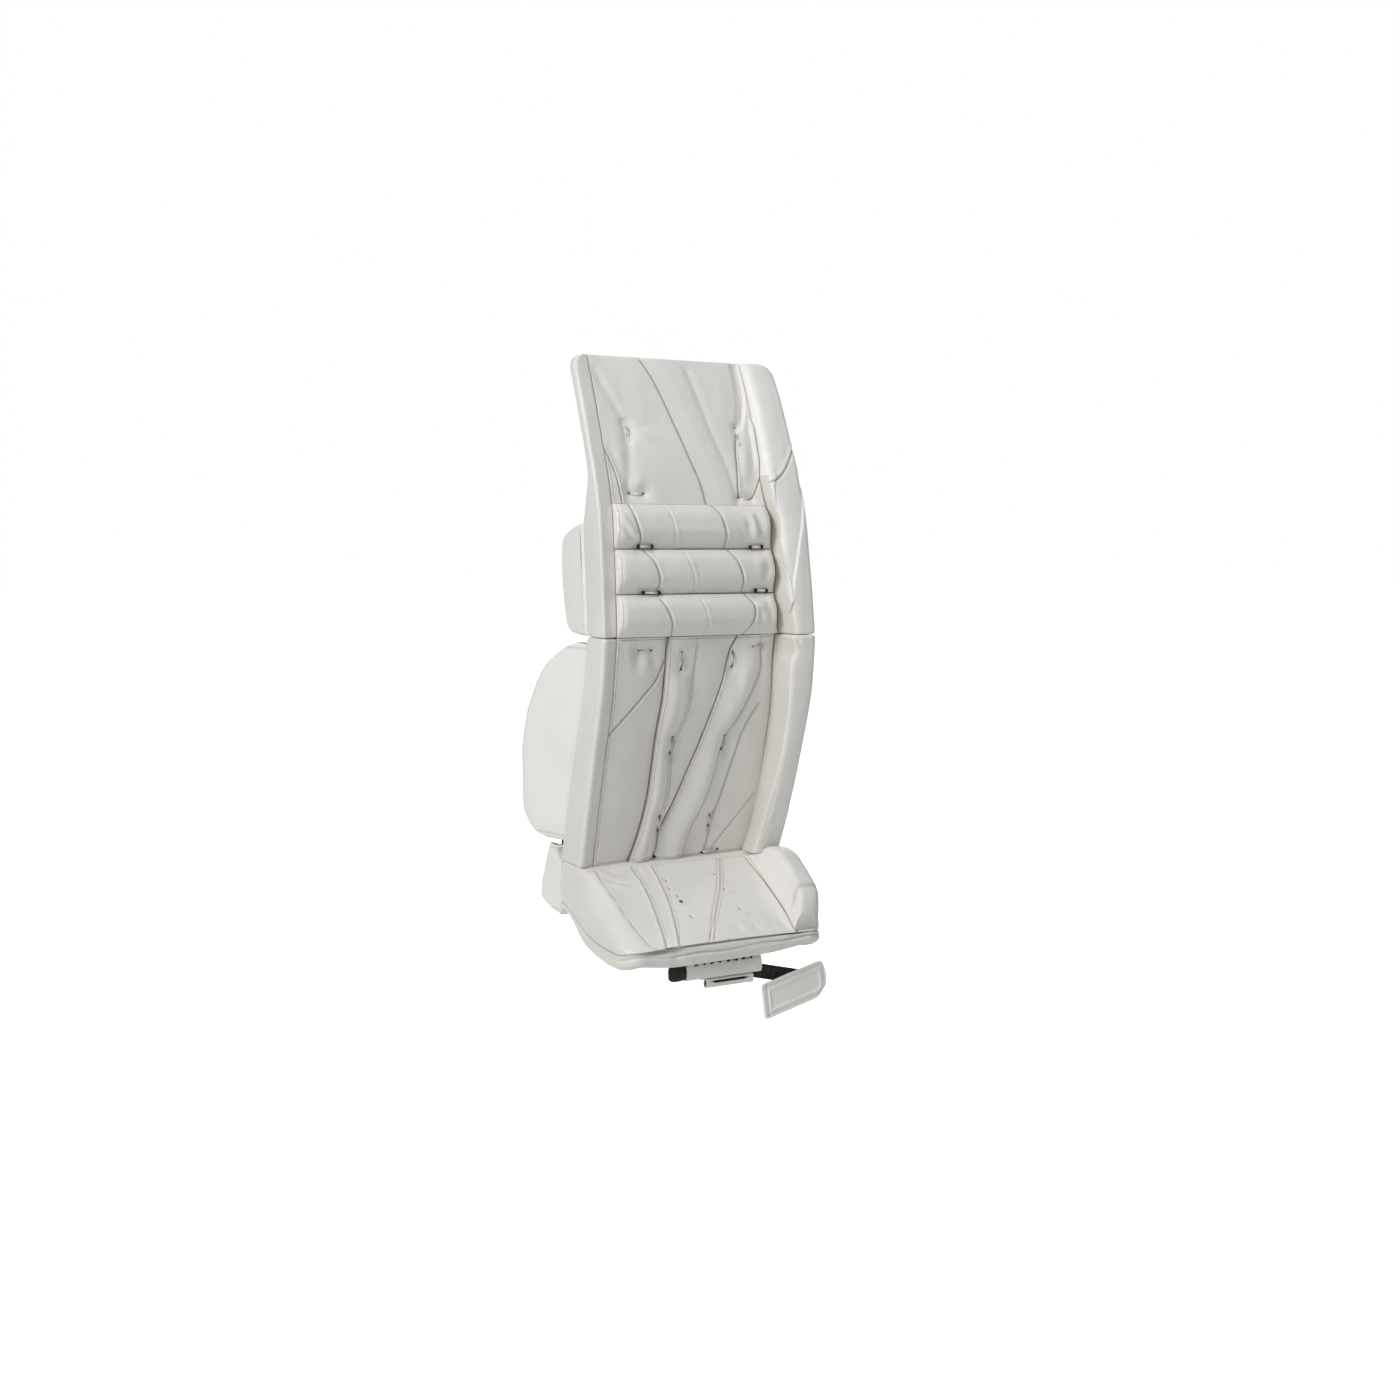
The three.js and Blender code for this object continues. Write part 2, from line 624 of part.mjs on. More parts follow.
const keeperZ = toeMiddle - toeSleeve.height / 2 - seat - toeKeeper.height / 2;
function toeKeeperBody() {
  const { length, height, depth, wall, shift, window } = toeKeeper;
  const bar = { y: toeY, z: keeperZ, height, depth };
  const bore = { ...bar, height: height - 2 * wall, depth: depth - 2 * wall };
  const outside = toSolid(roundBar({ ...bar, from: shift - length / 2, to: shift + length / 2 }));
  const opening = toSolid(roundBar({
    from: shift - window / 2, to: shift + window / 2, y: toeY - depth / 2, z: keeperZ + height / 2,
    height: height * 0.9, depth: depth * 0.9,
  }));
  const inside = toSolid(roundBar({ ...bore, from: -length, to: length }));
  return toGeometry(outside.subtract(inside).subtract(opening));
}

function toeKeeperCore() {
  const { length, height, depth, wall, shift } = toeKeeper;
  return roundBar({
    from: shift - length / 2 + 1, to: shift + length / 2 - 1, y: toeY, z: keeperZ,
    height: height - 2 * wall - 2 * seat, depth: depth - 2 * wall - 2 * seat,
  });
}

// The strap leaves from behind the sleeve, folds back on itself and ends behind the tab
const strapY = toeY + toeSleeve.depth / 2 + seat + toeStrap.thickness / 2;
const tabBack = strapY - 2 * toeStrap.turn - toeStrap.thickness / 2 - seat;
function toeStrapBody() {
  const { tail, reach, drop, fall, turn, twist, fold, width, thickness } = toeStrap;
  const start = toeMiddle - drop;
  const slope = (x) => start - fall * Math.max(0, (x - tail) / (reach - tail));
  const path = [-tail, tail, tail + (reach - tail) * 0.5, reach].map((x) => [x, strapY, slope(x)]);
  for (const angle of [45, 90, 135, 180]) {
    const turned = THREE.MathUtils.degToRad(angle);
    path.push([
      reach + turn * Math.sin(turned), strapY - turn + turn * Math.cos(turned),
      slope(reach) - (angle / 180) * twist,
    ]);
  }
  path.push([reach - fold, strapY - 2 * turn, slope(reach) - twist * 1.5]);
  return band(path, width, thickness);
}

// The tab: a flat piece with one cut corner, its outline in shares of its length and height
const tabOutline = [
  { along: 0, up: 0.05 }, { along: 0.06, up: 0 }, { along: 0.84, up: 0 }, { along: 1, up: 0.3 },
  { along: 1, up: 0.62 }, { along: 0.96, up: 0.96 }, { along: 0.9, up: 1 }, { along: 0.05, up: 1 },
  { along: 0, up: 0.95 },
];
function toeTabBody() {
  const { length, height, thickness, drop, lap, tilt, edge } = toeTab;
  const middle = { x: toeStrap.reach + toeStrap.turn + lap - length / 2, z: toeTop - drop };
  const turned = THREE.MathUtils.degToRad(tilt);
  const ring = (y, inset) => tabOutline.map(({ along, up }) => {
    const u = (along - 0.5) * (length - 2 * inset);
    const v = (up - 0.5) * (height - 2 * inset);
    return [
      middle.x + u * Math.cos(turned) - v * Math.sin(turned) * 0.35, y,
      middle.z + u * Math.sin(turned) + v * Math.cos(turned),
    ];
  });
  return loft([
    ring(tabBack, edge), ring(tabBack - edge, 0), ring(tabBack - thickness + edge, 0),
    ring(tabBack - thickness, edge),
  ]);
}

const group = new THREE.Group();
const whiteLeather = { color: '#e6e6e2', roughness: 0.45, metalness: 0 };
const blackWebbing = { color: '#141414', roughness: 0.9, metalness: 0 };

function add(name, geometry, material) {
  const mesh = new THREE.Mesh(geometry, new THREE.MeshStandardMaterial(material));
  mesh.name = name;
  group.add(mesh);
}

add('thigh_core', core(seat, thighHeight), whiteLeather);
add('shin_core', core(-shinHeight, -seat), whiteLeather);
add('inner_edge_upper', innerEdge(seat, thighHeight), whiteLeather);
add('inner_edge_lower', innerEdge(-shinHeight, -seat), whiteLeather);
add('thigh_face', thighFace(), whiteLeather);
for (let i = 0; i < kneeRollCount; i += 1) add(`knee_roll_${i + 1}`, kneeRoll(i), whiteLeather);
add('outer_roll_upper', outerRoll(seat, thighHeight), whiteLeather);
add('outer_roll_lower', outerRoll(-shinHeight, -seat), whiteLeather);
for (const [name, geometry] of Object.entries(shinPanels())) add(name, geometry, whiteLeather);
for (const [name, geometry] of Object.entries(bootAndHem())) add(name, geometry, whiteLeather);
add('boot_outer_roll', bootOuterRoll(), whiteLeather);
add('knee_block', kneeBlockBody(), whiteLeather);
add('calf_wing_inner', calfWingBody(-1), whiteLeather);
add('calf_wing_outer', calfWingBody(1), whiteLeather);
add('ankle_flap', ankleFlapBody(), whiteLeather);
add('ankle_strap', ankleStrapBody(), blackWebbing);
add('toe_sleeve', toeSleeveBody(), whiteLeather);
add('toe_core', toeCoreBody(), blackWebbing);
add('toe_keeper', toeKeeperBody(), whiteLeather);
add('toe_keeper_core', toeKeeperCore(), blackWebbing);
add('toe_strap', toeStrapBody(), blackWebbing);
add('toe_tab', toeTabBody(), whiteLeather);

export default group;
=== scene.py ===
import math

import bpy
import numpy as np
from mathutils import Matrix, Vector


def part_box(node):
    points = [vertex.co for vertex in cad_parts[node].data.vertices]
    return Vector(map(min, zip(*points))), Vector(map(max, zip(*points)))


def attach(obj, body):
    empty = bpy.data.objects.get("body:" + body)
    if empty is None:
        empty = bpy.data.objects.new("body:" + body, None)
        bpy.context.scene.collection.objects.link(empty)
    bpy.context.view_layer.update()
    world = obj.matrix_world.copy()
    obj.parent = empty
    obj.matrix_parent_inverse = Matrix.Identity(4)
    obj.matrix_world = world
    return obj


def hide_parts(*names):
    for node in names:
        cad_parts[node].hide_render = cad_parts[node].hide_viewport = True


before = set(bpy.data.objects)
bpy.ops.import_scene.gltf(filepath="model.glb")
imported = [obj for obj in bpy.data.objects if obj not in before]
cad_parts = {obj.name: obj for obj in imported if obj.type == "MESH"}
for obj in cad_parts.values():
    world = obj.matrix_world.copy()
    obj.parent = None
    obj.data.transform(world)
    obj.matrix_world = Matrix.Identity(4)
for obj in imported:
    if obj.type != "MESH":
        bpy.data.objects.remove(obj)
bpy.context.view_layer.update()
print("frame loaded:", len(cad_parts), "nodes")

# Everything below is worked out in millimetres, in the row frame, and turned to metres in makeMesh.
# X runs from the pad's inner edge to its outer edge, -Y meets the puck, +Z is up.
pad = {
    "half": 140.0, "thigh": 348.0, "shin": 295.0, "kneeFront": -55.0,
    "thighLean": 92.0, "shinLean": 79.0, "kneeDepth": 55.0, "ankleDepth": 68.0, "thighDepth": 20.0,
    "coreShare": 0.46, "seat": 0.4, "corner": 18.0, "edge": -120.0, "rollTops": (-3.0, 52.0, 107.0, 162.0),
}
# from the knee split up to the top and down to the boot, for the pieces that run along the whole pad
upperSpan, lowerSpan = (pad["seat"], pad["thigh"]), (-pad["shin"], -pad["seat"])
leatherSlot = "white_leather"
webbingSlot = "black_webbing"


# Curves and lines

def curveAt(xs, ys, x):
    # cubic pieces through the points, each point's slope taken from its two neighbours
    xs, ys = np.asarray(xs, float), np.asarray(ys, float)
    slopes = np.empty_like(ys)
    slopes[1:-1] = (ys[2:] - ys[:-2]) / (xs[2:] - xs[:-2])
    slopes[0] = (ys[1] - ys[0]) / (xs[1] - xs[0])
    slopes[-1] = (ys[-1] - ys[-2]) / (xs[-1] - xs[-2])
    x = np.clip(x, xs[0], xs[-1])
    i = np.clip(np.searchsorted(xs, x, side="right") - 1, 0, len(xs) - 2)
    span = xs[i + 1] - xs[i]
    t = (x - xs[i]) / span
    return (ys[i] * (2 * t**3 - 3 * t**2 + 1) + slopes[i] * span * (t**3 - 2 * t**2 + t)
            + ys[i + 1] * (3 * t**2 - 2 * t**3) + slopes[i + 1] * span * (t**3 - t**2))


def across(points):
    # a line on the face as x for each height, from (x, z) points
    rows = sorted(points, key=lambda p: p[1])
    zs, xs = [p[1] for p in rows], [p[0] for p in rows]
    return lambda z: curveAt(zs, xs, z)


def runAlong(path):
    # the length from a path's start to each of its points
    return np.concatenate([[0], np.cumsum(np.linalg.norm(np.diff(path, axis=0), axis=1))])


def smoothPath(points, step=2.0):
    # the same curve through points in any number of dimensions, sampled every step millimetres
    points = np.asarray(points, float)
    run = runAlong(points)
    count = max(2, int(round(run[-1] / step)) + 1)
    at = np.linspace(0, run[-1], count)
    if len(points) == 2:
        return points[0] + (points[1] - points[0]) * (at / run[-1])[:, None]
    return np.stack([curveAt(run, points[:, k], at) for k in range(points.shape[1])], axis=1)


def toPath(x, z, path):
    # distance from each (x, z) to a path, the side it lies on (+1 right of the way), and how far along
    path = np.asarray(path, float)
    a, b = path[:-1], path[1:]
    best = np.full(np.shape(x), 1e9)
    side = np.zeros(np.shape(x))
    along = np.zeros(np.shape(x))
    run = runAlong(path)
    for k in range(len(a)):
        d = b[k] - a[k]
        t = np.clip(((x - a[k, 0]) * d[0] + (z - a[k, 1]) * d[1]) / (d @ d), 0, 1)
        ox, oz = x - a[k, 0] - d[0] * t, z - a[k, 1] - d[1] * t
        far = np.hypot(ox, oz)
        near = far < best
        best = np.where(near, far, best)
        side = np.where(near, np.sign(d[1] * ox - d[0] * oz), side)
        along = np.where(near, run[k] + t * (run[k + 1] - run[k]), along)
    return best, side, along / run[-1]


def bump(distance, width):
    return np.exp(-(distance / width) ** 2)


def ease(a, b, x):
    t = np.clip((x - a) / (b - a), 0, 1)
    return t * t * (3 - 2 * t)


def roundedEdge(distance, radius):
    # how far a surface has dropped at a distance from its border: a quarter circle, 1 at the border
    d = np.clip(1 - distance / radius, 0, 1)
    return 1 - np.sqrt(np.clip(1 - d * d, 0, 1))


def waves(x, z, scale, seed, octaves=3):
    # soft unevenness: sums of slanted sine waves with a seeded direction and phase
    rng = np.random.default_rng(seed)
    total = np.zeros(np.broadcast(x, z).shape)
    for k in range(octaves * 4):
        turn, phase = rng.uniform(0, math.pi), rng.uniform(0, 2 * math.pi)
        length = scale * rng.uniform(0.7, 1.4) / (1 + k // 4)
        total = total + np.sin((x * math.cos(turn) + z * math.sin(turn)) * 2 * math.pi / length + phase) / (1
                                                                                                            + k // 4)
    return total / (octaves * 2)


def frontAt(z):
    # the line that the face follows, seen from the side
    up = curveAt([0, 0.15, 0.29, 0.43, 0.55, 0.7, 0.87, 1], [0, 0.03, 0.08, 0.15, 0.27, 0.5, 0.77, 1],
                 np.asarray(z, float) / pad["thigh"])
    down = curveAt([0, 0.25, 0.48, 0.78, 1], [0, 0.15, 0.42, 0.76, 1], -np.asarray(z, float) / pad["shin"])
    return pad["kneeFront"] + np.where(np.asarray(z) >= 0, pad["thighLean"] * up, pad["shinLean"] * down)


def depthAt(z):
    thin = curveAt([0, 0.38, 0.47, 0.58, 0.8, 1], [0, 0.02, 0.4, 0.95, 1, 1], np.asarray(z, float) / pad["thigh"])
    upper = pad["kneeDepth"] + (pad["thighDepth"] - pad["kneeDepth"]) * thin
    lower = pad["kneeDepth"] + (pad["ankleDepth"] - pad["kneeDepth"]) * np.clip(-np.asarray(z) / pad["shin"] * 1.4, 0,
                                                                                1)
    return np.where(np.asarray(z) >= 0, upper, lower)


def backAt(z):
    return frontAt(z) + depthAt(z)


def coreFrontAt(z):
    return frontAt(z) + depthAt(z) * pad["coreShare"]


def cornerInset(z):
    # how far the sides draw in at the rounded upper corners
    rise = np.clip(np.asarray(z, float) - (pad["thigh"] - pad["corner"]), 0, pad["corner"] * 0.96)
    return pad["corner"] - np.sqrt(pad["corner"] ** 2 - rise**2)


# Meshes

def makeMesh(name, points, quads, caps=(), uv=None, paintedShade=None, material=None, slot=leatherSlot, sharp=38,
             smooth=True):
    # points in millimetres; quads index them; each cap is one closed ring; faces are turned outwards
    points = np.asarray(points, float)
    quads = np.asarray(quads, np.int64)
    a, b, c, d = (points[quads[:, k]] for k in range(4))
    volume = np.einsum("ij,ij->i", a, np.cross(b, c)).sum() + np.einsum("ij,ij->i", a, np.cross(c, d)).sum()
    for cap in caps:
        ring = points[cap]
        volume += np.einsum("ij,ij->i", np.broadcast_to(ring[0], ring[1:-1].shape),
                            np.cross(ring[1:-1], ring[2:])).sum()
    corners = quads
    if volume < 0:
        corners = quads[:, ::-1]
        caps = [cap[::-1] for cap in caps]
        uv = None if uv is None else uv[:, ::-1]
    mesh = bpy.data.meshes.new(name)
    loops = np.concatenate([corners.ravel(), *caps]) if len(caps) else corners.ravel()
    sizes = np.concatenate([np.full(len(corners), 4), [len(cap) for cap in caps]]).astype(np.int64)
    mesh.vertices.add(len(points))
    mesh.vertices.foreach_set("co", (points * 0.001).astype(np.float32).ravel())
    mesh.loops.add(len(loops))
    mesh.loops.foreach_set("vertex_index", loops.astype(np.int32))
    mesh.polygons.add(len(sizes))
    mesh.polygons.foreach_set("loop_start", np.concatenate([[0], np.cumsum(sizes)[:-1]]).astype(np.int32))
    if uv is not None:
        layer = mesh.uv_layers.new(name="surface")
        flat = np.zeros((len(loops), 2), np.float32)
        flat[:uv.shape[0] * 4] = (uv * 0.001).reshape(-1, 2)
        layer.data.foreach_set("uv", flat.ravel())
    # painted shade for seams, folds, grooves and recesses, kept per point
    if paintedShade is not None:
        layer = mesh.attributes.new("paintedShade", "FLOAT", "POINT")
        layer.data.foreach_set("value", np.clip(paintedShade, 0, 1).astype(np.float32).ravel())
    mesh.update(calc_edges=True)
    mesh.validate()
    mesh.polygons.foreach_set("use_smooth", np.full(len(mesh.polygons), smooth))
    if smooth:
        mesh.set_sharp_from_angle(angle=math.radians(sharp))
    if material:
        mesh.materials.append(material)
    thing = bpy.data.objects.new(name, mesh)
    bpy.context.scene.collection.objects.link(thing)
    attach(thing, "root")
    return thing


def gridQuads(grid):
    # the four corners of each cell of a grid of point numbers
    return np.stack([grid[..., :-1, :-1], grid[..., :-1, 1:], grid[..., 1:, 1:], grid[..., 1:, :-1]],
                    axis=-1).reshape(-1, 4)


def loft(name, rings, closed=True, caps=True, paintedShade=None, cycle=False, keep=None, **more):
    # rings is rows x points x 3; each ring is joined to the next, and the two ends are closed, or with
    # cycle the last ring is joined to the first; keep says which of the grid's faces stay
    if cycle:
        rings, caps = np.concatenate([rings, rings[:1]]), False
    rows, count = rings.shape[:2]
    grid = np.arange(rows * count).reshape(rows, count)
    if cycle:
        grid[-1] = grid[0]
    if closed:
        grid = np.concatenate([grid, grid[:, :1]], axis=1)
    quads = gridQuads(grid)
    loop = np.concatenate([rings, rings[:, :1]], axis=1) if closed else rings
    aroundRun = np.concatenate([np.zeros((rows, 1)), np.cumsum(np.linalg.norm(np.diff(loop, axis=1), axis=2),
                                                               axis=1)], axis=1)
    alongRun = runAlong(rings.mean(axis=1))
    flat = np.stack([aroundRun, np.broadcast_to(alongRun[:, None], aroundRun.shape)], axis=-1)
    uv = np.stack([flat[:-1, :-1], flat[:-1, 1:], flat[1:, 1:], flat[1:, :-1]], axis=2).reshape(-1, 4, 2)
    if keep is not None:
        quads, uv = quads[keep.reshape(-1)], uv[keep.reshape(-1)]
    if cycle:
        rings = rings[:-1]
        paintedShade = None if paintedShade is None else paintedShade[:len(rings)]
    ends = [np.arange(count)[::-1], np.arange((rows - 1) * count, rows * count)] if caps and closed else []
    return makeMesh(name, rings.reshape(-1, 3), quads, ends, uv, None if paintedShade is None else paintedShade.reshape(-1), **more)


def endRounding(low, high, step, radius, radiusHigh=None):
    # heights of the rings, and how far each is drawn in, so that both ends finish in a quarter circle
    radiusHigh = radius if radiusHigh is None else radiusHigh
    turn = np.radians(np.linspace(0, 90, 7))[:-1]
    middle = np.linspace(low + radius, high - radiusHigh, max(2, int((high - low - radius - radiusHigh) / step) + 1))
    zs = np.concatenate([low + radius * (1 - np.cos(turn)), middle, high - radiusHigh * (1 - np.cos(turn[::-1]))])
    inset = np.concatenate([radius * (1 - np.sin(turn)), np.zeros(len(middle)),
                            radiusHigh * (1 - np.sin(turn[::-1]))])
    return zs, inset


def cornerRows(*corners):
    # corners that are each given as the x and the y of all rows, as rows x corners x 2
    return np.stack([np.stack(np.broadcast_arrays(*corner), 1) for corner in corners], axis=1)


def roundSection(corners, radii, counts, steps=6):
    # closed outlines, one a row, through corner points that are each turned with their own radius;
    # counts says into how many pieces the straight stretch after each corner is cut
    corners = np.asarray(corners, float)
    number = corners.shape[1]
    turns = []
    for i in range(number):
        before, here, after = corners[:, i - 1], corners[:, i], corners[:, (i + 1) % number]
        inDir, outDir = before - here, after - here
        inLen, outLen = np.linalg.norm(inDir, axis=1, keepdims=True), np.linalg.norm(outDir, axis=1, keepdims=True)
        reach = np.minimum(radii[i], np.minimum(inLen, outLen) * 0.49)
        a, b = here + inDir / inLen * reach, here + outDir / outLen * reach
        t = np.linspace(0, 1, steps + 1)[None, :, None]
        turns.append(a[:, None] * (1 - t) ** 2 + here[:, None] * 2 * t * (1 - t) + b[:, None] * t**2)
    full = []
    for i in range(number):
        full.append(turns[i])
        if counts[i] > 1:
            a, b = turns[i][:, -1:], turns[(i + 1) % number][:, :1]
            t = np.linspace(0, 1, counts[i] + 1)[None, 1:-1, None]
            full.append(a + (b - a) * t)
    return np.concatenate(full, axis=1)


def drawIn(sections, distance):
    # moves every point of closed flat outlines (rows x points x 2) square to the outline, towards its inside
    step = np.roll(sections, -1, axis=1) - np.roll(sections, 1, axis=1)
    x, y = sections[..., 0], sections[..., 1]
    turn = np.sign((x * np.roll(y, -1, axis=1) - y * np.roll(x, -1, axis=1)).sum(axis=1))[:, None, None]
    inward = np.stack([-step[..., 1], step[..., 0]], axis=-1) * turn
    inward = inward / np.maximum(np.linalg.norm(inward, axis=-1, keepdims=True), 1e-9)
    return sections + inward * np.reshape(distance, (-1, 1, 1))


def atHeights(sections, zs):
    # outlines in x and y, put at their heights
    return np.concatenate([sections, np.broadcast_to(zs[:, None, None], sections.shape[:2] + (1,))], axis=2)


# Camera, light and floor

view = {
    "place": (-0.8701, -1.7417, 0.1063), "yaw": 27.0, "pitch": 5.6, "lens": 39.34, "sensor": 36.0,
    "floor": -0.95,
}
cameraData = bpy.data.cameras.new("camera")
cameraData.lens = view["lens"]
cameraData.sensor_width = view["sensor"]
cameraData.sensor_fit = "AUTO"
cameraData.clip_end = 100
camera = bpy.data.objects.new("camera", cameraData)
camera.location = view["place"]
camera.rotation_euler = (math.radians(90 - view["pitch"]), 0, -math.radians(view["yaw"]))
bpy.context.scene.collection.objects.link(camera)
bpy.context.scene.camera = camera
bpy.context.scene.view_settings.view_transform = "Standard"
bpy.context.scene.view_settings.look = "None"


def areaLight(name, place, aim, size, power):
    data = bpy.data.lights.new(name, "AREA")
    data.shape = "DISK"
    data.size = size
    data.energy = power
    light = bpy.data.objects.new(name, data)
    light.location = place
    light.rotation_euler = (Vector(aim) - Vector(place)).to_track_quat("-Z", "Y").to_euler()
    bpy.context.scene.collection.objects.link(light)


lighting = {"key": 90.0, "front": 13.0, "top": 17.0, "back": 34.0, "world": 0.17}
areaLight("key", (-3.3, -1.1, 1.95), (0, 0, 0), 1.5, lighting["key"])
areaLight("front", (0.7, -3.0, 1.7), (0, 0, 0), 2.2, lighting["front"])
areaLight("top", (0.1, -0.5, 2.7), (0, 0, 0), 1.6, lighting["top"])
areaLight("back", (1.4, 2.8, 0.9), (0, 0, 0), 2.0, lighting["back"])


# Materials

def linear(hexColour):
    # an sRGB hex value as linear light
    parts = [int(hexColour[i:i + 2], 16) / 255 for i in (1, 3, 5)]
    return tuple(c / 12.92 if c <= 0.04045 else ((c + 0.055) / 1.055) ** 2.4 for c in parts) + (1.0,)


def addNode(tree, kind, settings=None, inputs=None, links=None):
    # one node with its settings, its unlinked values and the sockets that feed it
    node = tree.nodes.new(kind)
    for key, value in (settings or {}).items():
        setattr(node, key, value)
    for key, value in (inputs or {}).items():
        node.inputs[key].default_value = value
    for key, socket in (links or {}).items():
        tree.links.new(socket, node.inputs[key])
    return node


def newMaterial(name):
    material = bpy.data.materials.new(name)
    material.use_nodes = True
    tree = material.node_tree
    tree.nodes.clear()
    return material, tree


def finishMaterial(tree, colour, roughness, normal, values):
    shader = addNode(tree, "ShaderNodeBsdfPrincipled", inputs=values)
    if colour is not None:
        tree.links.new(colour, shader.inputs["Base Color"])
    if roughness is not None:
        tree.links.new(roughness, shader.inputs["Roughness"])
    if normal is not None:
        tree.links.new(normal, shader.inputs["Normal"])
    addNode(tree, "ShaderNodeOutputMaterial", links={"Surface": shader.outputs[0]})


def embossedLeather(name, light, shade, shadeTone, rough=0.42, grain=0.055):
    # Coated synthetic leather, calendered with a fine pebble grain: a soft sheen broken up by grain
    # about 1 mm across, a little greyer where it was handled, with painted shade, darker and warmer, down in the
    # seams, folds and grooves.
    material, tree = newMaterial(name)
    place = addNode(tree, "ShaderNodeTexCoord").outputs["Object"]
    pebble = addNode(tree, "ShaderNodeTexVoronoi", {"feature": "F1"}, {"Scale": 900.0, "Randomness": 1.0},
                     {"Vector": place})
    fine = addNode(tree, "ShaderNodeTexNoise", None, {"Scale": 420.0, "Detail": 3.0, "Roughness": 0.6},
                   {"Vector": place})
    cloud = addNode(tree, "ShaderNodeTexNoise", None, {"Scale": 11.0, "Detail": 4.0, "Roughness": 0.55},
                    {"Vector": place})
    patch = addNode(tree, "ShaderNodeMapRange", None, {"From Min": 0.35, "From Max": 0.68},
                    {"Value": cloud.outputs["Fac"]})
    base = addNode(tree, "ShaderNodeMix", {"data_type": "RGBA"}, {6: linear(light), 7: linear(shade)},
                   {0: patch.outputs["Result"]})
    # painted shade from the mesh: mixes the colour towards the shade tone in seams, folds and grooves
    paintedShade = addNode(tree, "ShaderNodeAttribute", {"attribute_name": "paintedShade"})
    colour = addNode(tree, "ShaderNodeMix", {"data_type": "RGBA"}, {7: linear(shadeTone)},
                     {0: paintedShade.outputs["Fac"], 6: base.outputs[2]})
    gloss = addNode(tree, "ShaderNodeMapRange", None, {"From Min": 0.3, "From Max": 0.7, "To Min": rough - 0.06,
                                                       "To Max": rough + 0.09},
                    {"Value": cloud.outputs["Fac"]})
    height = addNode(tree, "ShaderNodeMath", {"operation": "ADD"}, None,
                     {0: pebble.outputs["Distance"], 1: fine.outputs["Fac"]})
    bumpNode = addNode(tree, "ShaderNodeBump", None, {"Strength": grain * 4, "Distance": 0.0004},
                       {"Height": height.outputs[0]})
    finishMaterial(tree, colour.outputs[2], gloss.outputs["Result"], bumpNode.outputs["Normal"],
                   {"IOR": 1.49, "Coat Weight": 0.08, "Coat Roughness": 0.3})
    return material


def wovenWebbing(name, dark, ribHighlight):
    # Woven nylon webbing: ribs 1.6 mm apart across the band and yarns 1.2 mm
    # apart along it; a dull black with a faint sheen of fibre, and a painted highlight on the raised weave.
    material, tree = newMaterial(name)
    place = addNode(tree, "ShaderNodeUVMap", {"uv_map": "surface"}).outputs["UV"]
    ribs = addNode(tree, "ShaderNodeTexWave", {"wave_type": "BANDS", "bands_direction": "Y", "wave_profile": "SIN"},
                   {"Scale": 1000 / 1.6 / 20, "Distortion": 0.6, "Detail": 1.0}, {"Vector": place})
    yarns = addNode(tree, "ShaderNodeTexWave", {"wave_type": "BANDS", "bands_direction": "X", "wave_profile": "SIN"},
                    {"Scale": 1000 / 1.2 / 20, "Distortion": 0.4, "Detail": 1.0}, {"Vector": place})
    height = addNode(tree, "ShaderNodeMath", {"operation": "ADD"}, None,
                     {0: ribs.outputs["Fac"], 1: yarns.outputs["Fac"]})
    tone = addNode(tree, "ShaderNodeMapRange", None, {"From Min": 0.2, "From Max": 1.9}, {"Value": height.outputs[0]})
    colour = addNode(tree, "ShaderNodeMix", {"data_type": "RGBA"}, {6: linear(dark), 7: linear(ribHighlight)},
                     {0: tone.outputs["Result"]})
    bumpNode = addNode(tree, "ShaderNodeBump", None, {"Strength": 0.7, "Distance": 0.0005},
                       {"Height": height.outputs[0]})
    finishMaterial(tree, colour.outputs[2], None, bumpNode.outputs["Normal"],
                   {"Roughness": 0.78, "Sheen Weight": 0.25, "Sheen Roughness": 0.5, "IOR": 1.5})
    return material


def twistedThread(name, light, shade, pitch=0.0011):
    # Bonded polyester thread and lace: plies that wind round it, a slight gloss, with painted shade between the
    # plies.
    material, tree = newMaterial(name)
    place = addNode(tree, "ShaderNodeTexCoord").outputs["Object"]
    ply = addNode(tree, "ShaderNodeTexWave", {"wave_type": "BANDS", "bands_direction": "DIAGONAL"},
                  {"Scale": 1 / pitch / 20, "Distortion": 1.5, "Detail": 1.0}, {"Vector": place})
    colour = addNode(tree, "ShaderNodeMix", {"data_type": "RGBA"}, {6: linear(shade), 7: linear(light)},
                     {0: ply.outputs["Fac"]})
    bumpNode = addNode(tree, "ShaderNodeBump", None, {"Strength": 0.4, "Distance": 0.0003},
                       {"Height": ply.outputs["Fac"]})
    finishMaterial(tree, colour.outputs[2], None, bumpNode.outputs["Normal"], {"Roughness": 0.55, "IOR": 1.5})
    return material


# The face's leather: a slightly warm white with a broken, satin gloss.
whiteLeather = embossedLeather("embossedWhiteLeather", "#F0EEEA", "#E9E7E2", "#9F9C92")
# Rolls, block, wings and tab: a cleaner, brighter white that sets them off from the face.
gussetLeather = embossedLeather("smoothGussetLeather", "#F8F7F4", "#F3F2EE", "#A5A299")
# The outer rolls' inner wall: yellower and duller, a painted shade for the trough beside it.
wallShadeLeather = embossedLeather("embossedWallShadeLeather", "#E3E1DA", "#DBD9D1", "#A8A296", rough=0.46)
# The lining on the back: matt and a cooler grey white, coarser to the light than leather.
coverCloth = embossedLeather("smoothLiningCloth", "#E6E6E3", "#DCDCD8", "#9C9A92", rough=0.6, grain=0.08)
# Straps and toe bars: near black, with a painted highlight that makes the weave just lighter on its ribs.
blackWebbing = wovenWebbing("wovenBlackWebbing", "#0B0B0C", "#232325")
# Thread and laces: plies that wind round them, painted darker between them as shade, so that they don't look moulded.
whiteThread = twistedThread("bondedWhiteThread", "#F2F1EC", "#C9C7BF", 0.0009)
whiteLace = twistedThread("braidedWhiteLace", "#F0EFEA", "#BDBBB3", 0.0014)


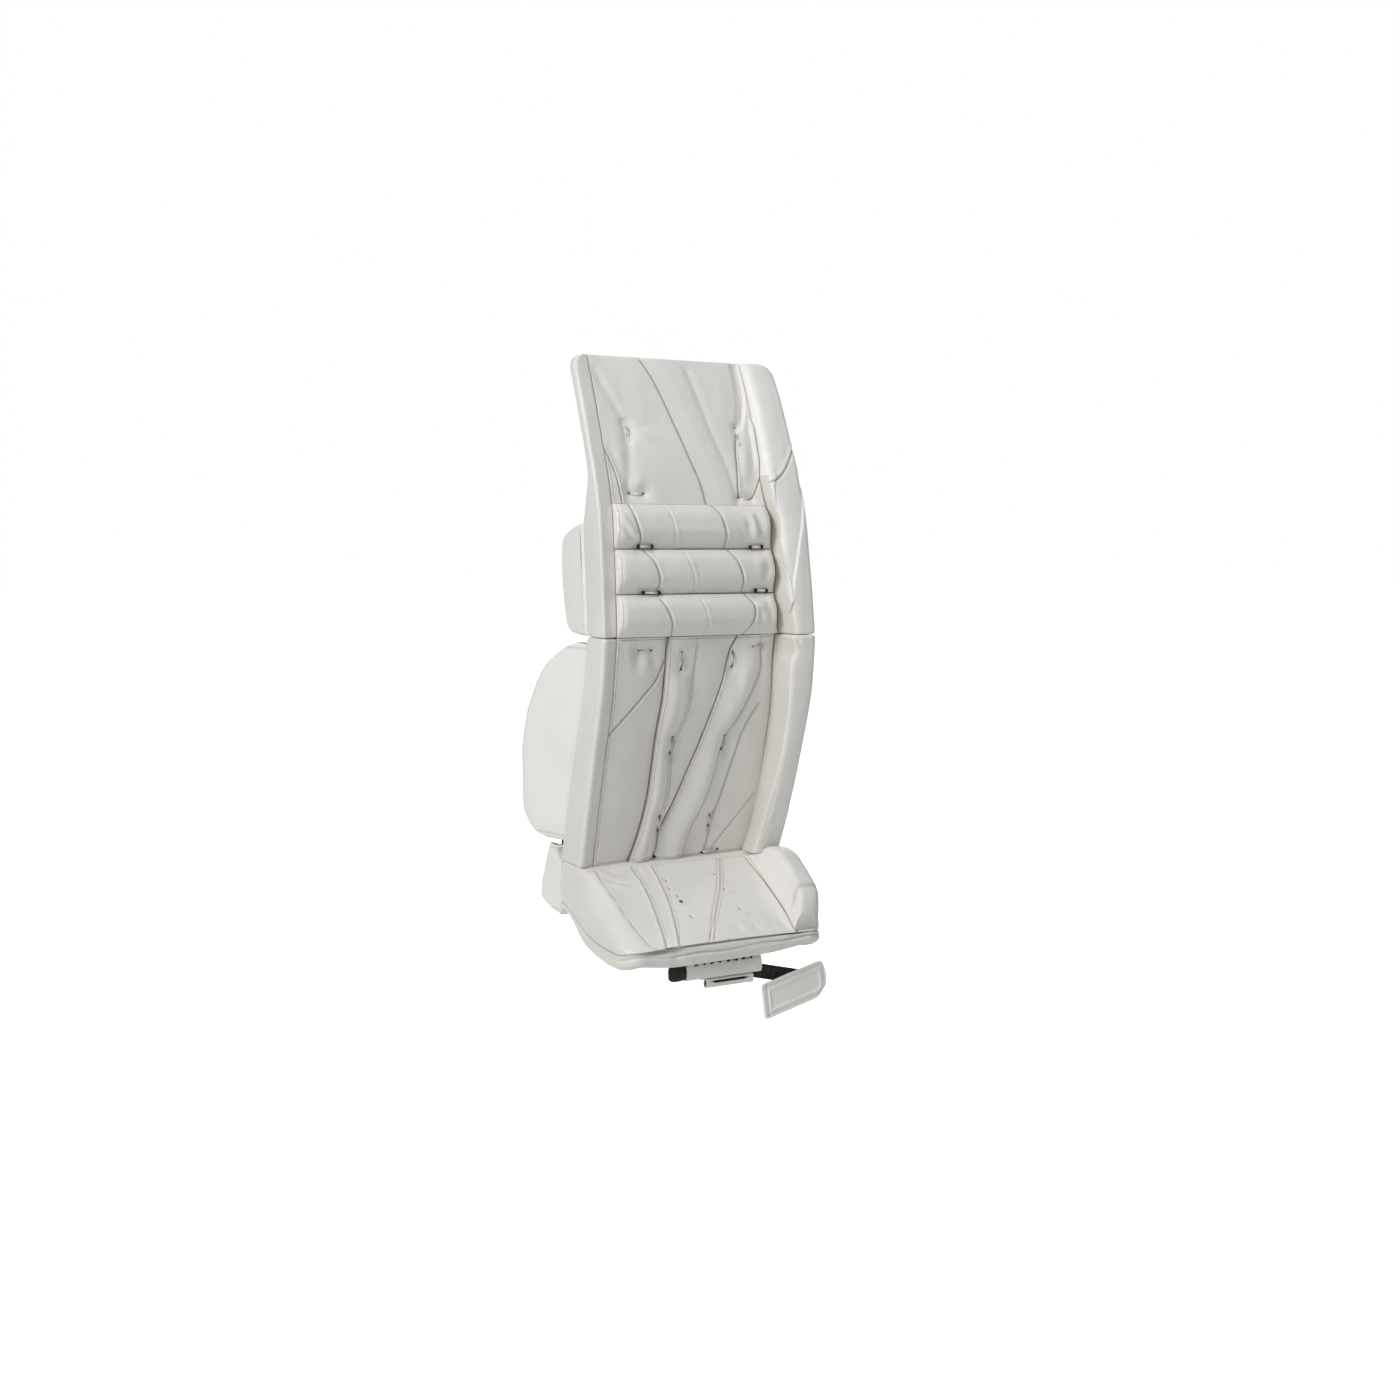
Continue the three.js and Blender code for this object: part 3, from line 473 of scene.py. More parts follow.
def shadedHole(name, deep, lit, scale):
    material, tree = newMaterial(name)
    noise = addNode(tree, "ShaderNodeTexNoise", None, {"Scale": scale})
    colour = addNode(tree, "ShaderNodeMix", {"data_type": "RGBA"}, {6: linear(deep), 7: linear(lit)},
                     {0: noise.outputs["Fac"]})
    finishMaterial(tree, colour.outputs[2], None, None, {"Roughness": 0.9})
    return material


# Painted shade inside a punched hole: almost black and without gloss, so that each eyelet reads as a dark dot.
holeShade = shadedHole("laceHoleShade", "#141311", "#35332F", 900.0)
# Painted shade in the needle holes between stitches: a soft grey dot that shows the seam's rhythm.
needleDotShade = shadedHole("needleHoleShade", "#6F6D66", "#8D8A82", 700.0)

# Studio: pale floor far below the pad, which hangs by its mount, and a white surround that lights softly
world = bpy.data.worlds.new("studio")
bpy.context.scene.world = world
world.use_nodes = True
world.node_tree.nodes.clear()
seen = addNode(world.node_tree, "ShaderNodeLightPath").outputs["Is Camera Ray"]
glow = addNode(world.node_tree, "ShaderNodeMapRange", None, {"To Min": lighting["world"], "To Max": 1.0},
               {"Value": seen})
sky = addNode(world.node_tree, "ShaderNodeBackground", None, {"Color": (1, 1, 1, 1)},
              {"Strength": glow.outputs["Result"]})
addNode(world.node_tree, "ShaderNodeOutputWorld", links={"Surface": sky.outputs[0]})
floorMaterial, floorTree = newMaterial("paintedStudioFloor")
floorSeen = addNode(floorTree, "ShaderNodeLightPath").outputs["Is Camera Ray"]
floorLit = addNode(floorTree, "ShaderNodeEmission", None, {"Color": (1, 1, 1, 1)}, {"Strength": floorSeen})
floorPaint = addNode(floorTree, "ShaderNodeBsdfDiffuse", None, {"Color": linear("#F4F4F2")})
floorBoth = addNode(floorTree, "ShaderNodeAddShader", None, None, {0: floorLit.outputs[0], 1: floorPaint.outputs[0]})
addNode(floorTree, "ShaderNodeOutputMaterial", links={"Surface": floorBoth.outputs[0]})
floorMesh = bpy.data.meshes.new("floor")
floorMesh.from_pydata([(-40, -40, view["floor"]), (40, -40, view["floor"]), (40, 40, view["floor"]),
                       (-40, 40, view["floor"])],
                      [], [(0, 1, 2, 3)])
floorMesh.materials.append(floorMaterial)
floor = bpy.data.objects.new("floor", floorMesh)
bpy.context.scene.collection.objects.link(floor)
print("camera, light and materials made")


# The shin's face: five padded panels between stitched seams

shinSeams = {
    "edge": across([(-120, 0), (-120, -295)]),
    "kneeLine": across([(-49, 4), (-50, -27), (-51, -79), (-53, -120), (-53, -170), (-54, -212), (-60, -256),
                        (-70, -296)]),
    "ribLine": across([(-9, 4), (-13, -47), (-15, -91), (-22, -122), (-28, -154), (-26, -200), (-30, -236),
                       (-34, -280), (-39, -296)]),
    "crossLine": across([(50, 4), (41, -18), (31, -59), (20, -100), (8, -145), (-8, -194), (-21, -233), (-31, -262),
                         (-38, -296)]),
    "outerLine": across([(82, 4), (81, -50), (72, -78), (62, -102), (51, -126), (42, -155), (37, -190), (28, -223),
                         (14, -258), (7, -296)]),
    "roll": across([(104, 4), (104, -13), (103, -34), (107, -87), (110, -138), (111, -197), (110, -235), (105, -272),
                    (97, -295)]),
}
crossSeam = shinSeams["crossLine"]
shinSeams["crossLine"] = lambda z: np.maximum(crossSeam(z), shinSeams["ribLine"](z) + 1.2)
shinInner = {
    "triangle": smoothPath([(-121, -123), (-99, -97), (-78, -72), (-63, -54), (-52, -30)], 4),
    "outerFirst": smoothPath([(88, -90), (73, -120), (62, -167), (51, -221), (46, -250), (38, -294)], 6),
    "outerSecond": smoothPath([(104, -215), (86, -238), (72, -256), (56, -277), (47, -294)], 6),
}
# laces: two punched holes each, as (x, z) of both ends
shinTies = [
    ((-30, -19), (-30, -41)), ((-29, -129), (-29, -150)), ((-31, -236), (-31, -255)),
    ((45, -21), (45, -41)), ((46, -131), (46, -149)), ((43, -239), (43, -254)),
    ((-87, -16), (-70, -16)), ((71, -15), (87, -15)),
]
# soft folds as (x, z) to (x, z), how wide and how high (below 0 for a hollow)
shinFolds = [
    ((-118, -6), (-112, -30), 5, 1.2), ((-87, -10), (-92, -40), 6, -1.2), ((-70, -12), (-64, -44), 6, -1.0),
    ((-78, -18), (-79, -46), 6, 1.0), ((-104, -8), (-100, -36), 6, 0.9), ((-50, -8), (-40, -20), 5, -1.2),
    ((-24, -52), (-20, -108), 6, 2.2), ((-20, -160), (-24, -205), 7, -1.4), ((-12, -130), (6, -124), 8, -1.8),
    ((-10, -146), (0, -160), 8, -1.2), ((58, -40), (62, -80), 6, 1.8), ((50, -118), (60, -100), 5, -1.0),
    ((30, -205), (20, -250), 8, 1.4), ((60, -135), (74, -128), 6, -0.9), ((92, -12), (88, -60), 6, 1.2),
    ((-18, -232), (-8, -210), 7, -1.0), ((-100, -286), (-60, -290), 6, -1.0), ((36, -262), (52, -258), 6, -1.0),
]


def tiePull(x, z, ties, depth=5.2, reach=12.0):
    # how far the laces draw the face in: a dimple round both holes and between them
    total = np.zeros(np.broadcast(x, z).shape)
    for a, b in ties:
        far, _, _ = toPath(x, z, [a, b])
        near = np.minimum(np.hypot(x - a[0], z - a[1]), np.hypot(x - b[0], z - b[1]))
        total = total + depth * bump(far, reach) + 1.6 * bump(near, 3.4)
    return total


def foldLift(x, z, folds):
    total = np.zeros(np.broadcast(x, z).shape)
    for a, b, width, height in folds:
        far, _, t = toPath(x, z, [a, b])
        total = total + height * bump(far, width) * (0.35 + 0.65 * np.sin(np.pi * np.clip(t, 0.08, 0.92)))
    return total


def shinSkin(x, z, panel):
    # how far behind the front line the face lies, by panel
    left, right = (shinSeams[side](z) for side in panel["between"])
    share = np.clip((x - left) / (right - left), 0, 1)
    skin = panel["profile"](share, z)
    skin = skin + tiePull(x, z, shinTies) - foldLift(x, z, shinFolds)
    skin = skin + 0.35 * waves(x, z, 46, 3)
    paintedShade = np.zeros(x.shape)
    for name, depth, lip in panel["inner"]:
        far, side, _ = toPath(x, z, shinInner[name])
        skin = skin + depth * bump(far, 1.25) - 0.55 * lip * bump(far - 3.4, 2.4) * (side * np.sign(lip) > 0)
        # painted shade along the inner seams, down in their groove
        paintedShade = np.maximum(paintedShade, 0.75 * bump(far, 0.9))
    return skin, paintedShade


def crownedPanel(name, nodes, zs, left, right, skinOf, edges, width=0.85, low=2.0, high=2.0, base=None, **more):
    # a panel as rings at each height: x runs from seam to seam, y is the front line plus the skin, and both
    # borders and both ends roll in by a quarter circle; edges holds the radius and depth at left and right
    zs = np.asarray(zs, float)[:, None]
    x0, x1 = left(zs) + 0.25, right(zs) - 0.25
    count = max(8, int(np.max(x1 - x0) / width))
    t = np.linspace(0, 1, count + 1)[None, :]
    t = t - 0.11 * np.sin(2 * np.pi * t)
    x = x0 + (x1 - x0) * t
    z = np.broadcast_to(zs, x.shape)
    skin, paintedShade = skinOf(x, z)
    (leftRadius, leftDepth), (rightRadius, rightDepth) = edges
    fromLeft, fromRight = x - x0, x1 - x
    narrow = np.clip((x1 - x0) / 12.0, 0.15, 1)
    skin = skin + leftDepth * narrow * roundedEdge(fromLeft, leftRadius)
    skin = skin + rightDepth * narrow * roundedEdge(fromRight, rightRadius)
    skin = skin + low * roundedEdge(z - zs.min(), 3.0) + high * roundedEdge(zs.max() - z, 3.0)
    # painted shade down in the grooves at the panel's deeper borders
    edgeShade = np.maximum(bump(fromLeft, 1.0) * (leftDepth > 1), bump(fromRight, 1.0) * (rightDepth > 1))
    paintedShade = np.maximum(paintedShade, 0.7 * edgeShade)
    floorY = (coreFrontAt(zs) - pad["seat"]) if base is None else base(zs)
    y = np.minimum(frontAt(z) + skin, floorY - 0.8)
    front = np.stack([x, y, z], axis=-1)
    ends = [np.concatenate([xEnd, floorY, zs], axis=1)[:, None, :] for xEnd in (x0, x1)]
    rings = np.concatenate([ends[0], front, ends[1]], axis=1)
    paintedShade = np.concatenate([paintedShade[:, :1], paintedShade, paintedShade[:, -1:]], axis=1)
    panel = loft(name, rings, paintedShade=paintedShade, material=more.pop("material", whiteLeather), **more)
    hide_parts(*nodes)
    return panel


def ribProfile(peak, crest, start, end):
    # rises steeply from the seam to its crest, then falls softly to the next seam
    def profile(share, z):
        rise = ease(0, peak, share)
        fall = ease(peak, 1.0, share) ** 1.15
        return np.where(share < peak, start + (crest - start) * rise, crest + (end - crest) * fall)
    return profile


shinPanels = {
    "shin_panel_inner": {
        "between": ("edge", "kneeLine"), "edges": ((1.6, 1.0), (2.2, 2.2)),
        "profile": lambda s, z: 7.0 + 3.8 * s - 1.8 * np.sin(np.pi * s) + 1.4 * ease(0.85, 1, s),
        "inner": [("triangle", 1.7, 1.6)],
    },
    "shin_rib_inner": {
        "between": ("kneeLine", "ribLine"), "edges": ((2.6, 2.6), (1.6, 1.0)),
        "profile": ribProfile(0.42, 2.6, 6.4, 8.0), "inner": [],
    },
    "shin_panel_middle": {
        "between": ("ribLine", "crossLine"), "edges": ((1.4, 0.9), (2.0, 2.0)),
        "profile": lambda s, z: 9.4 + 1.6 * s - 1.6 * np.sin(np.pi * s), "inner": [],
    },
    "shin_rib_outer": {
        "between": ("crossLine", "outerLine"), "edges": ((2.4, 2.4), (1.5, 1.2)),
        "profile": ribProfile(0.72, 3.0, 9.0, 7.0), "inner": [],
    },
    "shin_panel_outer": {
        "between": ("outerLine", "roll"), "edges": ((1.4, 0.9), (1.8, 1.8)),
        "profile": lambda s, z: 9.4 + 4.0 * s - 1.8 * np.sin(np.pi * s),
        "inner": [("outerFirst", 1.3, -1.0), ("outerSecond", 1.1, -1.0)],
    },
}
shinHeights = np.concatenate([-pad["shin"] + np.array([0, 0.2, 0.6, 1.2]), np.linspace(-pad["shin"] + 2, -2.4, 345),
                              [-1.6, -1.0, -0.6, -0.4]])
for name, panel in shinPanels.items():
    crownedPanel(name + "_cover", [name], shinHeights, shinSeams[panel["between"][0]], shinSeams[panel["between"][1]],
                 lambda x, z, panel=panel: shinSkin(x, z, panel), panel["edges"], high=0.4)
print("shin face made")


def shinFaceY(x, z):
    # the finished surface's y at points of the shin's face, for stitches and laces that lie on it
    x, z = np.asarray(x, float), np.asarray(z, float)
    y = np.full(x.shape, np.nan)
    for panel in shinPanels.values():
        left, right = (shinSeams[side](z) for side in panel["between"])
        inside = (x >= left) & (x <= right)
        skin, _ = shinSkin(x, z, panel)
        (lr, ld), (rr, rd) = panel["edges"]
        skin = skin + ld * roundedEdge(x - left, lr) + rd * roundedEdge(right - x, rr)
        y = np.where(inside, frontAt(z) + skin, y)
    return y


# The thigh's face above the rolls

thigh = {"low": 162.2, "high": 348.0, "lip": 4.0}
thighRight = across([(93, 160), (91, 176), (90, 196), (92, 224), (94, 264), (95, 292), (94, 349)])
thighSeams = {
    "main": smoothPath([(-50, 349), (-37, 323), (-28, 298), (-19, 268), (-10, 238), (-3, 213), (4, 189), (8, 161)],
                       5),
    "light": smoothPath([(16, 332), (18, 323), (24, 298), (30, 270), (37, 242), (44, 218), (50, 190), (55, 161)], 5),
    "valley": smoothPath([(70, 256), (65, 238), (60, 207), (57, 185), (58, 172)], 4),
    "inner": smoothPath([(-120, 230), (-116, 221), (-111, 205), (-108, 190), (-105, 161)], 4),
    "pocket": smoothPath([(58, 172), (75, 170), (79, 176), (90, 196)], 4),
}
thighTies = [((-83, 261), (-83, 243)), ((-93, 174), (-74, 174))]
thighPuckers = [((70, 260), (70, 258)), ((58, 171), (75, 170))]
thighFolds = [
    ((-112, 326), (-100, 300), 7, -2.6), ((-100, 300), (-86, 266), 6, -2.2), ((-84, 240), (-89, 205), 6, -1.6),
    ((-89, 205), (-94, 180), 6, -1.4), ((-106, 318), (-90, 282), 7, 1.8), ((-102, 240), (-100, 205), 6, 1.2),
    ((-80, 256), (-40, 262), 7, -1.4), ((-80, 246), (-50, 238), 7, 1.1), ((-80, 250), (-55, 222), 8, -1.2),
    ((66, 250), (62, 205), 4, -2.0),
    ((78, 246), (70, 200), 8, 3.6), ((84, 300), (80, 262), 5, 1.6), ((60, 330), (58, 280), 12, 0.8),
    ((-86, 182), (-76, 196), 6, 1.2), ((-92, 176), (-98, 196), 6, -1.2),
]

thighValley = across([(74, 254), (83, 275), (89, 300), (91, 349)])


def thighSkin(x, z):
    skin = 3.2 + 0.9 * np.sin(np.pi * np.clip((x - pad["edge"]) / 60, 0, 1)) + 0.4 * waves(x, z, 70, 5)
    skin = skin + tiePull(x, z, thighTies, 3.6, 9) + tiePull(x, z, thighPuckers, 3.2, 7) - foldLift(x, z, thighFolds)
    paintedShade = np.zeros(x.shape)
    for name, depth, lip, width in (("main", 1.6, 0, 1.1), ("light", 0.4, 0.3, 1.0), ("valley", 2.2, 0.8, 1.3),
                                    ("inner", 1.8, 0.8, 1.2), ("pocket", 1.6, 0, 1.2)):
        far, side, _ = toPath(x, z, thighSeams[name])
        skin = skin + depth * bump(far, width) - lip * np.clip(1 - far / 8, 0, 1) ** 1.3 * (side < 0)
        # painted shade along each seam, darker where its groove is deeper
        paintedShade = np.maximum(paintedShade, min(1, depth / 2.2) * bump(far, 0.9))
    far, _, _ = toPath(x, z, thighSeams["light"])
    skin = skin + 1.5 * bump(far, 6)
    far, side, _ = toPath(x, z, thighSeams["main"])
    skin = skin + 2.4 * np.clip(1 - far / 24, 0, 1) * ease(0.8, -0.8, side)
    fromValley = x - thighValley(z)
    skin = skin + 6.0 * ease(-15, 0, fromValley) * ease(4, 0, fromValley) * ease(254, 274, z)
    skin = skin - 4.5 * ease(-7, -1, x - thighRight(z)) * ease(196, 222, z) * ease(276, 258, z)
    return skin, paintedShade


thighEdges = ((2.0, 1.6), (0.5, 0.4))
thighLip = thigh["high"] - thigh["lip"] * (1 - np.sin(np.radians(np.linspace(0, 90, 7))))[1:]
thighHeights = np.unique(np.round(np.concatenate([
    thigh["low"] + np.array([0, 0.2, 0.6, 1.4]),
    np.linspace(thigh["low"] + 2.4, thigh["high"] - thigh["lip"], 205), thighLip,
]), 3))
crownedPanel("thigh_face_cover", ["thigh_face"], thighHeights, lambda z: np.full(np.shape(z), pad["edge"]),
             thighRight,
             thighSkin, thighEdges, width=0.9, low=0.2, high=3.5)
print("thigh face made")


# Knee rolls: each a padded tube between two seams that run across

rollLook = {"rise": 17.5, "valley": 6.5, "around": 62}
rollSeams = [  # as (x, z) lines on each roll, lowest roll first: dark folded seams and light ones
    {"dark": [[(-65, 46), (-55, 27), (-50, 8), (-48, -4)], [(51, 53), (62, 38), (63, 24), (56, 8), (46, -4)]],
     "light": [[(-12, 48), (-3, 20), (-2, 7), (-8, -4)]]},
    {"dark": [[(-85, 108), (-73, 90), (-67, 72), (-68, 50)], [(30, 108), (41, 92), (48, 73), (50, 57), (49, 50)]],
     "light": [[(-30, 104), (-21, 74), (-16, 50)]]},
    {"dark": [[(-101, 163), (-94, 137), (-89, 119), (-88, 108)],
              [(8, 165), (19, 154), (26, 133), (28, 119), (28, 106)]],
     "light": [[(-50, 156), (-44, 132), (-40, 108)]]},
]
rollFolds = [  # as (x, z) to (x, z), width, height
    [((66, 40), (80, 30), 4, 1.8), ((70, 30), (74, 14), 4, -1.8), ((80, 44), (88, 20), 5, -2.2),
     ((96, 40), (92, 10), 5, 1.6)],
    [((62, 96), (78, 84), 6, 1.6), ((84, 92), (80, 66), 6, -2.6), ((94, 96), (94, 66), 4, 2.0),
     ((-110, 66), (-96, 58), 5, -1.5)],
    [((-118, 150), (-92, 120), 4.0, 2.2), ((-118, 139), (-98, 119), 3.4, -2.4), ((-119, 128), (-96, 113), 3.4, 1.8),
     ((56, 142), (62, 122), 4, -1.8), ((64, 148), (70, 122), 3.6, 2.6), ((72, 148), (78, 124), 4, -2.6),
     ((80, 150), (90, 128), 5, 2.2), ((46, 130), (60, 116), 5, -1.6)],
]
rollRight = across([(104, -4), (102, 23), (99, 51), (101, 73), (98, 109), (98, 144), (93, 164)])


def rollSpan(number):
    # the lowest and the highest point of a roll
    return pad["rollTops"][number] + (0.8 if number else 3.6), pad["rollTops"][number + 1] - 0.2


def rollSurface(number, x, z):
    # y of a roll at points of the face, and the painted shade along its seams: a quick rise under the upper
    # seam, a flat front and a drawn-in underside, pinched at both ends and by its laces
    low, high = rollSpan(number)
    down = np.clip((high - z) / (high - low), 0, 1)
    swell = curveAt([0, 0.04, 0.12, 0.2, 0.3, 0.42, 0.6, 0.74, 0.87, 1],
                    [0.44, 0.54, 0.74, 0.89, 0.98, 1, 0.98, 0.82, 0.50, 0.20], down)
    right = rollRight(z)
    atLeft = 1 - np.clip(1 - (x - pad["edge"]) / 9, 0, 1) ** 2
    atRight = 1 - np.clip(1 - (right - x) / 14, 0, 1) ** 2
    pinch = (0.7 + 0.3 * atLeft) * (0.12 + 0.88 * atRight)
    pinch = pinch - 0.12 * bump(right - x, 14) * bump(down - 0.8, 0.35)
    out = rollLook["rise"] * pinch * swell
    paintedShade = np.zeros(x.shape)
    for path in rollSeams[number]["dark"]:
        far, side, _ = toPath(x, z, smoothPath(path, 3))
        out = out - 2.4 * bump(far, 1.6) * swell + 0.6 * np.clip(1 - far / 9, 0, 1) * (side < 0) * swell
        paintedShade = np.maximum(paintedShade, 0.9 * bump(far, 0.9))
    for path in rollSeams[number]["light"]:
        far, side, _ = toPath(x, z, smoothPath(path, 3))
        out = out - 0.7 * bump(far, 1.2) * swell + 0.5 * bump(far - 3.0, 2.4) * (side < 0)
        paintedShade = np.maximum(paintedShade, 0.25 * bump(far, 0.9))
    out = out + foldLift(x, z, rollFolds[number]) * swell + 0.45 * waves(x, z, 38, 20 + number) * swell
    return frontAt(z) + rollLook["valley"] - out, paintedShade


rollTies = [((-87, 51), (-66, 51)), ((69, 52), (84, 52)), ((-91, 107), (-73, 107)), ((64, 106), (80, 107))]


def tieDip(x, z, y):
    # the rolls' y, drawn in along their laces
    for a, b in rollTies:
        y = y + 2.5 * bump(toPath(x, z, [a, b])[0], 8)
    return y


for number in range(3):
    low, high = rollSpan(number)
    turn = np.linspace(0, 1, rollLook["around"] + 1)
    share = turn - 0.075 * np.sin(2 * np.pi * turn)
    zs = high + (low - high) * share
    columns = np.linspace(0, 1, 240)
    columns = columns - 0.06 * np.sin(2 * np.pi * columns)
    z = np.broadcast_to(zs[None, :], (len(columns), len(zs)))
    left = pad["edge"] + 0.2
    x = left + (rollRight(z) - 0.3 - left) * columns[:, None]
    y, paintedShade = rollSurface(number, x, z)
    y = tieDip(x, z, y)
    base = coreFrontAt(z) - pad["seat"]
    y = np.minimum(y, base - 0.6)
    arc = np.stack([x, y, z], axis=-1)
    back = np.stack([x[:, [-1, 0]], base[:, [-1, 0]], z[:, [-1, 0]]], axis=-1)
    roll = loft(f"knee_roll_{number + 1}_cover", np.concatenate([arc, back], axis=1),
                paintedShade=np.concatenate([paintedShade, paintedShade[:, [-1, 0]]], axis=1), material=whiteLeather)
    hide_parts(f"knee_roll_{number + 1}")
print("knee rolls made")


# Inner edge: the side wall and the narrow strip of the face, one padded bar above the knee and one below

edgeLook = {"end": 3.6, "wallPuff": 1.6}
for name, (low, high), top, soft in (
        ("inner_edge_upper", upperSpan, 4.0, 4.5), ("inner_edge_lower", lowerSpan, 3.6, 9.0)):
    zs, inset = endRounding(low, high, 2.2, edgeLook["end"], top)
    outside = -pad["half"] + cornerInset(zs)
    inside = np.full_like(zs, pad["edge"] - 0.2)
    front, back = frontAt(zs), backAt(zs)
    fall = curveAt([-60, -5, 60, 170, 348], [8.0, 7.0, 6.0, 3.6, 3.0], zs)
    section = roundSection(cornerRows((inside, back), (outside, back), (outside, front), (inside, front + fall)),
                           [0.8, 6.5, soft, 1.0], [6, 34, 12, 8])
    x, y, z = section[..., 0], section[..., 1], np.broadcast_to(zs[:, None], section.shape[:2])
    middle = (y - front[:, None]) / (back - front)[:, None]
    onWall = ease(4, 1, x - outside[:, None])
    x = x - edgeLook["wallPuff"] * np.sin(np.pi * np.clip(middle, 0, 1)) * onWall * 0.5
    x = x + 0.35 * waves(y, z, 60, 31) * onWall
    y = y + 0.3 * waves(x * 3, z, 50, 33) * (1 - onWall)
    section = drawIn(np.stack([x, y], axis=-1), inset * 0.98)
    # painted shade along the seam where the strip meets the face
    paintedShade = 0.55 * bump(section[..., 0] - inside[:, None], 0.9) * (middle < 0.5)
    bar = loft(name + "_cover", atHeights(section, zs), paintedShade=paintedShade, material=whiteLeather)
    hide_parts(name)


# Outer rolls: boxy padded bars that stand proud of the face, with a yellower, duller painted shade on the inner wall

outerRoll = {"rise": 34.0, "end": 4.0, "endHigh": 4.5, "corner": 8.0, "outer": 7.0}
# where the roll's leather takes the painted shade: faces turned to the pad's inner side, below a height
shadedWall = {"facing": -0.75, "inside": 118.0, "below": 200.0}


def outerRiseAt(z):
    swell = curveAt([-1, -0.9, -0.78, -0.5, -0.25, 0, 0.25, 0.45, 0.65, 0.85, 1],
                    [0.5, 0.66, 0.82, 1, 1, 0.9, 0.7, 0.57, 0.43, 0.3, 0.12],
                    np.where(z >= 0, z / pad["thigh"], z / pad["shin"]))
    return outerRoll["rise"] * swell


upperLeft = across([(104, -4), (102, 23), (99, 51), (101, 73), (98, 109), (98, 144), (93, 164), (91, 176), (90, 196),
                    (92, 224), (94, 264), (95, 292), (94, 349)])
lowerCorner = across([(104, 0), (108, -22), (103, -39), (106, -101), (108, -155), (104, -209), (101, -246),
                      (98, -295)])
facetLeft = across([(110, 40), (109, 62), (103, 103), (99, 138), (99, 185), (104, 196)])
facetRight = across([(107, 34), (111, 62), (121, 103), (134, 152), (142, 200)])
cornerSeam = smoothPath([(84, 188), (106, 196), (120, 209), (134, 228), (141, 240)], 4)
bottomSeam = smoothPath([(96, 23), (103, 24), (109, 40)], 3)
rollCreases = [((104, -4), (112, -14), 3, 1.4), ((108, -4), (118, -10), 3, -1.4), ((116, -5), (122, -14), 3, 1.2)]


def outerRollTop(x, z, upper):
    # relief of the roll's front: a soft V-shaped facet and its seams above, painted shade along those seams, small
    # creases at the break below
    y = 0.5 * waves(x, z, 44, 41)
    paintedShade = np.zeros(x.shape)
    if upper:
        inFacet = ease(-1.5, 1.5, x - facetLeft(z)) * ease(-1.5, 1.5, facetRight(z) - x)
        inFacet = inFacet * ease(30, 44, z) * ease(214, 190, z)
        y = y + 2.2 * inFacet + 1.2 * ease(104, 138, x)
        for path, depth in ((cornerSeam, 1.8), (bottomSeam, 1.4)):
            far, side, _ = toPath(x, z, path)
            y = y + depth * bump(far, 1.3) - 0.7 * bump(far - 3.2, 2.4) * (side < 0)
            paintedShade = np.maximum(paintedShade, 0.8 * bump(far, 0.9))
    else:
        y = y - foldLift(x, z, rollCreases)
    return y, paintedShade


for name, (low, high), upper in (("outer_roll_upper", upperSpan, True), ("outer_roll_lower", lowerSpan, False)):
    zs, inset = endRounding(low, high, 1.6, outerRoll["end"], outerRoll["endHigh"] if upper else outerRoll["end"])
    left = upperLeft(zs) if upper else shinSeams["roll"](zs)
    corner = left + 3.5 + 2.0 * ease(40, 0, zs) if upper else lowerCorner(zs)
    right = pad["half"] - cornerInset(zs)
    base = coreFrontAt(zs) - pad["seat"]
    top = np.minimum(frontAt(zs) - outerRiseAt(zs), base - 4)
    section = roundSection(cornerRows((left + 0.2, base), (corner, top + 1.2), (right, top), (right, base)),
                           [0.5, outerRoll["corner"], outerRoll["outer"], 0.5], [14, 30, 12, 6], steps=10)
    x, y, z = section[..., 0], section[..., 1], np.broadcast_to(zs[:, None], section.shape[:2])
    relief, paintedShade = outerRollTop(x, z, upper)
    onTop = ease(10, 3, y - top[:, None]) * ease(-2, 4, x - left[:, None])
    crownY = -1.6 * np.sin(np.pi * np.clip((x - corner[:, None]) / (right - corner)[:, None], 0, 1)) * onTop
    y = np.minimum(y + relief * onTop + crownY, base[:, None])
    section = drawIn(np.stack([x, y], axis=-1), inset * 0.98)
    # the side that lies on the core isn't drawn in, so that no slot opens between them at the ends
    section[..., 1] += (y - section[..., 1]) * ease(1.0, 0.2, base[:, None] - y)
    paintedShade = paintedShade * onTop
    bar = loft(name + "_cover", atHeights(section, zs), paintedShade=paintedShade, material=gussetLeather)
    bar.data.materials.append(wallShadeLeather)
    normals = np.empty(len(bar.data.polygons) * 3)
    centres = np.empty(len(bar.data.polygons) * 3)
    bar.data.polygons.foreach_get("normal", normals)
    bar.data.polygons.foreach_get("center", centres)
    centres = centres.reshape(-1, 3) * 1000
    # faces turned towards the pad's inner side take the darker, yellower painted shade
    shadedFaces = (normals.reshape(-1, 3)[:, 0] < shadedWall["facing"]) & (centres[:, 0] < shadedWall["inside"])
    shadedFaces &= centres[:, 2] < shadedWall["below"]
    bar.data.polygons.foreach_set("material_index", shadedFaces.astype(np.int32))
    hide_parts(name)
print("inner edges and outer rolls made")


# Cores: the foam slabs behind, whose backs are the smooth lining that the leg lies on

